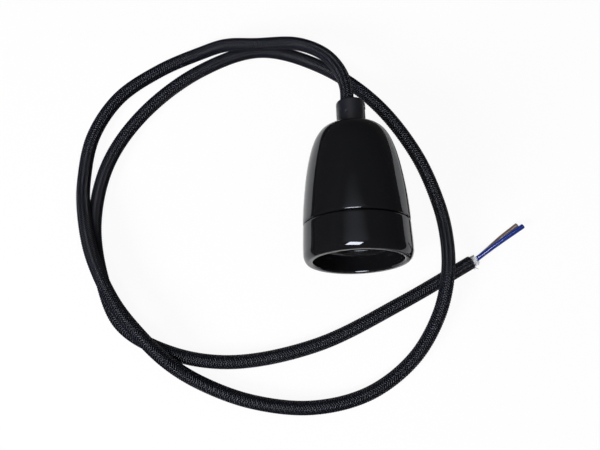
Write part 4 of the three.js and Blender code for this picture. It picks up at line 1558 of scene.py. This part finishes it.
@dataclass
class Cord:
    """The braided cord along its route, with its stripped end."""

    axes: HolderAxes
    shelf: MaterialShelf
    radius: float = 3.05
    braid_radius: float = 3.2
    under_radius: float = 2.6
    yarns: int = 12
    lay: float = 13.2
    yarn_width: float = 0.96
    yarn_height: float = 0.42
    yarn_step: float = 0.37
    relief: float = 0.13
    braid_start: float = 14.0
    root: float = 54.0
    exit: float = 75.0
    exit_shift: float = -1.3
    sheath_radius: float = 2.5
    sheath_bore: float = 2.05
    sheath_stand: float = 2.6
    core_radius: float = 1.15
    strand_radius: float = 0.15
    strand_spread: float = 0.34
    yarn_end_thickness: float = 0.13
    visible_length: float = 950.0
    route_points: tuple[Triple, ...] = (
        (-1.5, 46.6, 18.6), (-4.8, 57.6, 15.4), (-11.7, 67, 12.2), (-24, 73.2, 10.2), (-43.9, 73.4, 9.9),
        (-58.3, 74.6, 7.6), (-71.3, 72.6, 3.7), (-90.9, 64.2, 3.2), (-110.3, 50.4, 3.2), (-122, 31.2, 3.2),
        (-125.4, 8.9, 3.8), (-122.9, -9.9, 8.6), (-118.1, -28.7, 9.8), (-108.1, -49.3, 9.3),
        (-96.5, -63.7, 9.9), (-84.2, -75.8, 8.3), (-70.6, -84.9, 3.8), (-47.8, -93.8, 3.2),
        (-20.9, -97.1, 3.2), (4.2, -91.6, 3.2), (24.6, -77.1, 3.3), (36.5, -58.2, 6.2), (40.9, -40.9, 9.7),
        (42.4, -23.4, 5.9), (40.3, -6.3, 3.4), (31.4, 18.3, 3.2), (13, 45, 3.2), (-12.6, 64.4, 3.2),
        (-41.7, 73.2, 3.2), (-71, 63.5, 3.2), (-98.2, 42.1, 3.2), (-114.4, 17.2, 3.2),
        (-119.7, -11.5, 3.2), (-115.1, -38.6, 3.2), (-105.8, -58.9, 3.2), (-84.6, -71.5, 3.2),
        (-56.7, -76.6, 3.2), (-18.5, -70.2, 3.2), (19.9, -52.8, 3.2), (53.3, -34.9, 3.2))
    blue_tail: tuple[Triple, ...] = (
        (56.45, -33.12, 4.5), (61.89, -29.39, 4.25), (67.94, -25.45, 3.95), (78.81, -18.58, 3.4))
    brown_tail: tuple[Triple, ...] = (
        (56.55, -33.23, 1.85), (61.9, -28.99, 1.7), (68.15, -23.86, 1.6), (76.73, -17.65, 1.5))

    def __post_init__(self) -> None:
        """Lays the route from the cord's root in the holder to its cut end."""
        inside = [(0.0, self.root, 0.0), (0.0, 58.0, 0.0), (-0.2, 63.0, 0.0), (-0.9, 69.0, 0.0),
                  (self.exit_shift, self.exit, 0.0)]
        placed = self.axes.place(np.array(inside)) / MM
        self.route = Route([tuple(p) for p in placed] + list(self.route_points))

    def polyline(self, route: Route) -> bpy.types.Mesh:
        """A mesh of one open line of edges along a route.

        Args:
            route: the line it follows.

        Returns:
            The mesh.
        """
        points = route.metres(2)
        mesh = bpy.data.meshes.new("line")
        mesh.from_pydata([tuple(p) for p in points], [(i, i + 1) for i in range(len(points) - 1)], [])
        return mesh

    def under_layer(self) -> bpy.types.Object:
        """Builds the round body under the braid, from the root to the cut end.

        Returns:
            The body.
        """
        length, radius = self.route.length, self.under_radius
        rings = [(d, radius) for d in np.linspace(0.2, length - 0.2, round(length / 1.2))]
        profile = [(0.0, 0.0), (0.0, radius - 0.2), *rings, (length, radius - 0.2), (length, 0.0)]
        piece = swept(self.route, profile, 20).build("cord_body", self.shelf.get(Slot.BRAID))
        # The body under the braid takes the full painted gap shade.
        shade(piece, 1.0)
        return settle(piece, Slot.BRAID, "braided_cord")

    def braid(self) -> list[bpy.types.Object]:
        """Builds the two hands of braiding yarns, from inside the grip to the cut end.

        Returns:
            The right-handed and the left-handed yarns.
        """
        covered = self.route.part(self.braid_start, self.route.length)
        tree = braid_tree()
        pieces = []
        for hand in Hand:
            piece = grow(tree, f"braid_{hand.name.lower()}", self.polyline(covered), {
                "Steps": round(covered.length / self.yarn_step), "Yarns": self.yarns,
                "Radius": (self.braid_radius - self.relief - self.yarn_height / 2) * MM,
                "Relief": self.relief * MM, "Lay": self.lay * MM, "Hand": hand.value,
                "Yarn Width": self.yarn_width * MM, "Yarn Height": self.yarn_height * MM,
                "Material": self.shelf.get(Slot.BRAID)})
            pieces.append(settle(piece, Slot.BRAID))
        return pieces

    def frayed_edge(self) -> list[bpy.types.Object]:
        """Builds the loose yarn ends around the braid's cut edge.

        Returns:
            The short ends and the few long ones.
        """
        point, ahead, side, up = self.route.frame_at(self.route.length - 0.4)
        turn = Matrix(np.stack([side, up, ahead], 1).tolist()).to_4x4()
        place = Matrix.Translation(Vector(point) * MM) @ turn
        tree = tuft_tree()
        pieces = []
        for number, (count, radius, length, flare) in enumerate(((40, 2.8, 1.3, 0.12), (9, 2.7, 2.2, 0.5))):
            piece = grow(tree, f"frayed_ends_{number + 1}", None, {
                "Count": count, "Radius": radius * MM, "Length": length * MM, "Flare": flare,
                "Thickness": self.yarn_end_thickness * MM, "Seed": 5 + number,
                "Material": self.shelf.get(Slot.BRAID)})
            piece.data.transform(place)
            # The loose ends take half the painted gap shade.
            shade(piece, 0.5)
            pieces.append(settle(piece, Slot.BRAID))
        return pieces

    def sheath_stub(self) -> bpy.types.Object:
        """Builds the torn white sheath that stands out of the braid.

        Returns:
            The sheath.
        """

        def rough(angle: float, wave: float, seed: float) -> float:
            """Noise around the tube, with no seam."""
            return noise.noise(Vector((math.cos(angle) * wave, math.sin(angle) * wave, seed)))

        sides, rows = 72, 10
        outer, inner = [], []
        for row in range(rows + 1):
            share = row / rows
            for side in range(sides):
                angle = side / sides * 2 * math.pi
                torn = self.sheath_stand + 1.5 * rough(angle, 1.9, 4.0) + 0.5 * rough(angle, 7, 1.0)
                distance = self.route.length - 1.0 + share * (1.0 + torn)
                point, _, across, up = self.route.frame_at(distance)
                flare = 0.35 * share ** 2 * rough(angle, 1.4, 9.0)
                for face, radius in ((outer, self.sheath_radius), (inner, self.sheath_bore)):
                    reach = radius + flare
                    face.append(point + reach * (math.cos(angle) * across + math.sin(angle) * up))
        body = tube(outer, inner, sides).moved(lambda points: points * MM)
        piece = body.build("sheath_stub", self.shelf.get(Slot.SHEATH))
        return settle(piece, Slot.SHEATH, "inner_sheath_end")

    def core(self, name: str, points: Sequence[Triple], slot: Slot, node: str) -> bpy.types.Object:
        """Builds one insulated core, from inside the sheath to its cut end with a bore.

        Args:
            name: the piece's name.
            points: its route past the sheath.
            slot: its material slot.
            node: the CAD node it stands for.

        Returns:
            The core.
        """
        route = Route(points, 0.25)
        end, radius = route.length, self.core_radius
        rings = [(d, radius + 0.015 * noise.noise(Vector((d * 0.4, radius, 0.0))))
                 for d in np.arange(-1.6, end - 0.15, 0.4)]
        profile = [(-1.8, 0.0), (-1.8, radius - 0.15), *rings, (end - 0.12, radius), (end, radius - 0.1),
                   (end, 0.62), (end - 0.9, 0.58), (end - 0.9, 0.0)]
        piece = swept(route, profile, 32).build(name, self.shelf.get(slot))
        return settle(piece, slot, node)

    def strands(self, name: str, points: Sequence[Triple], node: str) -> bpy.types.Object:
        """Builds the twisted copper strands inside a core's cut end.

        Args:
            name: the piece's name.
            points: the core's route past the sheath.
            node: the CAD node it stands for.

        Returns:
            The strands, as one piece.
        """
        route = Route(points, 0.25)
        bundle: Body | None = None
        for reach, angle in [(0.0, 0.0)] + [(self.strand_spread, a) for a in range(0, 360, 60)]:
            line = []
            for share in np.linspace(0, 1, 10):
                point, _, side, up = route.frame_at(route.length - 2.0 + 1.85 * share)
                turn = math.radians(angle + 120 * share)
                line.append(tuple(point + reach * (math.cos(turn) * side + math.sin(turn) * up)))
            strand = Route(line, 0.1)
            end, radius = strand.length, self.strand_radius
            body = swept(strand, [(0.0, 0.0), (0.0, radius), (end - 0.03, radius), (end, 0.1), (end, 0.0)], 10)
            bundle = body if bundle is None else bundle.joined(body)
        piece = bundle.build(name, self.shelf.get(Slot.COPPER))
        return settle(piece, Slot.COPPER, node)

    def build(self) -> list[bpy.types.Object]:
        """Returns:
            The cord's pieces, its body first.
        """
        body = self.under_layer()
        pieces = [*self.braid(), *self.frayed_edge(), self.sheath_stub(),
                  self.core("blue_core", self.blue_tail, Slot.BLUE, "blue_core_tail"),
                  self.core("brown_core", self.brown_tail, Slot.BROWN, "brown_core_tail"),
                  self.strands("blue_core_strands", self.blue_tail, "blue_wire_tip"),
                  self.strands("brown_core_strands", self.brown_tail, "brown_wire_tip")]
        leaves = self.axes.place(np.array([[self.exit_shift, self.exit, 0.0]]))[0]
        [tuple(p) for p in self.route.metres(4)]
        return [body, *pieces]


class InnerParts:
    """Dresses the CAD nodes that stay as they are inside the holder."""

    NODES: dict[str, Slot] = {
        "live_terminal": Slot.BRASS, "neutral_terminal": Slot.BRASS, "grip_washer": Slot.ZINC,
        "grip_nut": Slot.ZINC, "inner_sheath_root": Slot.SHEATH, "live_core_root": Slot.BROWN,
        "neutral_core_root": Slot.BLUE, "live_wire_root": Slot.COPPER, "neutral_wire_root": Slot.COPPER}

    def __init__(self, shelf: MaterialShelf) -> None:
        """Keeps the shelf that the materials come from.

        Args:
            shelf: the shelf.
        """
        self.shelf = shelf

    def dress(self) -> list[bpy.types.Object]:
        """Gives each node its material.

        Returns:
            The nodes.
        """
        dressed = []
        for name, slot in self.NODES.items():
            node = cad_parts[name]
            node.material_slots[0].material = self.shelf.get(slot)
            dressed.append(node)
        return dressed


def settle(piece: bpy.types.Object, slot: Slot, *nodes: str) -> bpy.types.Object:
    """Ties a piece to the part: it rides on the body and stands for its CAD nodes, which are hidden.

    Args:
        piece: the object.
        slot: the record's material slot; not used.
        *nodes: CAD nodes that it replaces.

    Returns:
        The object.
    """
    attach(piece, "root")
    if nodes:
        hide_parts(*nodes)
    return piece


# Studio


def towards(azimuth: float, elevation: float) -> Vector:
    """The direction at an azimuth from -Y and an elevation, both in degrees."""
    turn, rise = math.radians(azimuth), math.radians(elevation)
    return Vector((math.sin(turn) * math.cos(rise), -math.cos(turn) * math.cos(rise), math.sin(rise)))


@dataclass
class Softbox:
    """A rectangular lamp at a direction and distance from the middle of the set."""

    name: str
    azimuth: float
    elevation: float
    distance: float
    size: Pair
    watts: float
    tone: Triple = (1.0, 1.0, 1.0)
    mirrored: bool = False
    lights: bool = True
    only: str = ""

    def build(self, target: Vector, chosen: dict[str, bpy.types.Collection]) -> bpy.types.Object:
        """Hangs the lamp, aimed at the target.

        Args:
            target: the point it faces, in metres.
            chosen: the groups of pieces that a lamp may be kept to, by name.

        Returns:
            The lamp.
        """
        out = towards(self.azimuth, self.elevation)
        light = bpy.data.lights.new(self.name, "AREA")
        light.shape = "RECTANGLE"
        light.size, light.size_y = self.size
        light.energy = self.watts
        light.color = self.tone
        lamp = show(bpy.data.objects.new(self.name, light))
        lamp.location = target + out * self.distance
        lamp.rotation_euler = (-out).to_track_quat("-Z", "Y").to_euler()
        lamp.visible_camera = False
        lamp.visible_glossy = self.mirrored
        lamp.visible_diffuse = self.lights
        if self.only:
            lamp.light_linking.receiver_collection = chosen[self.only]
        return lamp


@dataclass
class Studio:
    """Pale floor, soft lamps, plain world and the camera at the photograph's angle."""

    eye: Triple = (-26.407, -85.475, 307.29)
    look: Triple = (-24.429, -14.396, 0.0)
    focal_mm: float = 40.373
    sensor_mm: float = 36.0
    floor_size: float = 6.0
    floor_tone: Triple = (0.8, 0.8, 0.8)
    ambient: float = 0.14
    paper_low: Pair = (-0.086, -0.1)
    paper_high: Pair = (0.130, 0.058)
    paper_blur: float = 0.004
    around: float = 0.07
    overhead: float = 0.115
    sky_rise: Pair = (0.1, 0.6)
    glow: float = 0.42
    glow_towards: Pair = (-130.0, 78.0)
    glow_spread_deg: Pair = (32.0, 5.0)
    floor_white: float = 0.93
    paper_shaded: float = 0.8
    middle: Triple = (-0.02, -0.01, 0.02)
    chosen: dict[str, bpy.types.Collection] = field(default_factory=dict)
    lamps: list[Softbox] = field(default_factory=lambda: [
        Softbox("front_lamp", -8.0, 58.0, 1.2, (0.3, 0.22), 4.0),
        Softbox("front_window", -20.0, 61.0, 1.2, (0.6, 0.52), 24.0, mirrored=True, lights=False),
        Softbox("left_fill", -52.0, 28.0, 1.2, (0.5, 0.4), 18.0),
        Softbox("right_fill", 80.0, 48.0, 1.2, (0.8, 0.8), 1.5),
        Softbox("back_fill", 180.0, 55.0, 1.2, (0.9, 0.7), 1.5),
        Softbox("core_strip", 120.0, 65.0, 1.2, (0.12, 0.12), 3.0, mirrored=True, lights=False,
                only="cores"),
        Softbox("braid_strip", -130.0, 71.0, 1.2, (0.3, 0.3), 8.0, tone=(0.72, 0.8, 1.0), mirrored=True,
                lights=False, only="braid")])

    def camera(self) -> bpy.types.Object:
        """Places the camera.

        Returns:
            The camera.
        """
        data = bpy.data.cameras.new("camera")
        data.sensor_width = self.sensor_mm
        data.lens = self.focal_mm
        data.clip_start, data.clip_end = 0.01, 50.0
        camera = show(bpy.data.objects.new("camera", data))
        eye, look = Vector(self.eye) * MM, Vector(self.look) * MM
        camera.location = eye
        camera.rotation_euler = (look - eye).to_track_quat("-Z", "Y").to_euler()
        bpy.context.scene.camera = camera
        return camera

    def paper(self, draft: TreeDraft, place: bpy.types.NodeSocket) -> bpy.types.NodeSocket:
        """1 on the white sheet under the set and 0 around it, with soft edges.

        Args:
            draft: the floor material's tree.
            place: the floor's Object coordinates.

        Returns:
            The mask's socket.
        """
        spot = draft.add("ShaderNodeSeparateXYZ", {0: place})
        mask = None
        for axis in (0, 1):
            for edge, blur in ((self.paper_low[axis], self.paper_blur),
                               (self.paper_high[axis], -self.paper_blur)):
                ramp = draft.add("ShaderNodeMapRange", {
                    "Value": spot.outputs[axis], "From Min": edge - blur, "From Max": edge + blur},
                    interpolation_type="SMOOTHSTEP").outputs[0]
                mask = ramp if mask is None else draft.math("MULTIPLY", mask, ramp)
        return mask

    def floor(self) -> bpy.types.Object:
        """Lays the pale floor, which keeps a light shadow of the set.

        Returns:
            The floor.
        """
        half = self.floor_size / 2
        mesh = bpy.data.meshes.new("floor")
        corners = [(-half, -half, 0), (half, -half, 0), (half, half, 0), (-half, half, 0)]
        mesh.from_pydata(corners, [], [(0, 1, 2, 3)])
        material, draft = new_material("Pale floor")
        place = draft.add("ShaderNodeTexCoord").outputs["Object"]
        cloud = draft.add("ShaderNodeTexNoise", {"Vector": place, "Scale": 12.0, "Detail": 2.0})
        lighter = (*(t + 0.02 for t in self.floor_tone), 1.0)
        tone = draft.mix(cloud.outputs[0], (*self.floor_tone, 1.0), lighter)
        matte = draft.add("ShaderNodeBsdfDiffuse", {"Color": tone})
        path = draft.add("ShaderNodeLightPath").outputs
        mirrored = draft.math("MAXIMUM", path["Is Glossy Ray"], path["Is Transmission Ray"])
        paper = self.paper(draft, place)
        sheet = draft.math("MULTIPLY_ADD", paper, 1.0 - self.around, self.around)
        strength = draft.math("MAXIMUM", path["Is Camera Ray"], draft.math("MULTIPLY", mirrored, sheet))
        white = draft.add("ShaderNodeEmission", {"Color": (1.0, 1.0, 1.0, 1.0), "Strength": strength})
        glare = draft.math("MULTIPLY_ADD", paper, -self.paper_shaded, 1.0)
        share = draft.math("ADD", draft.math("MULTIPLY", path["Is Camera Ray"], self.floor_white),
                           draft.math("MULTIPLY", mirrored, glare))
        shown = draft.add("ShaderNodeMixShader", {0: share, 1: matte.outputs[0], 2: white.outputs[0]})
        draft.add("ShaderNodeOutputMaterial", {"Surface": shown.outputs[0]})
        mesh.materials.append(material)
        floor = show(bpy.data.objects.new("floor", mesh))
        return floor

    def world(self) -> None:
        """Sets the plain world: white to the camera and low down, soft grey overhead."""
        world = bpy.data.worlds.new("studio")
        bpy.context.scene.world = world
        world.use_nodes = True
        draft = TreeDraft(world.node_tree)
        path = draft.add("ShaderNodeLightPath").outputs
        mirrored = draft.math("MAXIMUM", path["Is Glossy Ray"], path["Is Transmission Ray"])
        heading = draft.add("ShaderNodeTexCoord").outputs["Generated"]
        height = draft.add("ShaderNodeSeparateXYZ", {0: heading}).outputs["Z"]
        sky = draft.add("ShaderNodeMapRange", {
            "Value": height, "From Min": self.sky_rise[0], "From Max": self.sky_rise[1],
            "To Min": self.around, "To Max": self.overhead})
        near = draft.add("ShaderNodeVectorMath", {0: heading, 1: towards(*self.glow_towards)},
                         operation="DOT_PRODUCT").outputs["Value"]
        rim, core = (math.cos(math.radians(a)) for a in self.glow_spread_deg)
        glow = draft.add("ShaderNodeMapRange", {
            "Value": near, "From Min": rim, "From Max": core, "To Max": self.glow},
            interpolation_type="SMOOTHSTEP")
        seen = draft.math("ADD", sky.outputs[0], glow.outputs[0])
        lit = draft.math("MULTIPLY", draft.math("SUBTRACT", 1.0, path["Is Camera Ray"]), self.ambient)
        other = draft.math("MULTIPLY", draft.math("SUBTRACT", 1.0, mirrored), lit)
        unseen = draft.math("MULTIPLY_ADD", mirrored, seen, other)
        strength = draft.math("ADD", path["Is Camera Ray"], unseen)
        back = draft.add("ShaderNodeBackground", {"Color": (1.0, 1.0, 1.0, 1.0), "Strength": strength})
        draft.add("ShaderNodeOutputWorld", {"Surface": back.outputs[0]})

    def build(self) -> None:
        """Builds the whole studio."""
        bpy.context.scene.view_settings.view_transform = "Standard"
        self.camera()
        self.floor()
        self.world()
        for name in LIT_ALONE:
            self.chosen[name] = bpy.data.collections.new(name)
        for lamp in self.lamps:
            lamp.build(Vector(self.middle), self.chosen)

    def keep(self, piece: bpy.types.Object) -> None:
        """Puts a piece in the group whose lamp lights it alone, if it has one.

        Args:
            piece: the object.
        """
        for name, pieces in LIT_ALONE.items():
            if piece.name in pieces:
                self.chosen[name].objects.link(piece)


def main() -> None:
    """Builds the set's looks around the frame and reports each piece."""
    logging.basicConfig(level=logging.INFO, format="%(message)s")
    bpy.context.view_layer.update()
    axes, shelf = HolderAxes(), MaterialShelf()
    studio = Studio()
    studio.build()
    for kind in (Cord, GlazedShells, LampSocket, CordGrip):
        assembly = kind(axes, shelf)
        for piece in assembly.build():
            LOG.info("%s: %s, %d faces", type(assembly).__name__, piece.name, len(piece.data.polygons))
            studio.keep(piece)
    for node in InnerParts(shelf).dress():
        LOG.info("InnerParts: %s dressed", node.name)


if __name__ == "__main__":
    main()
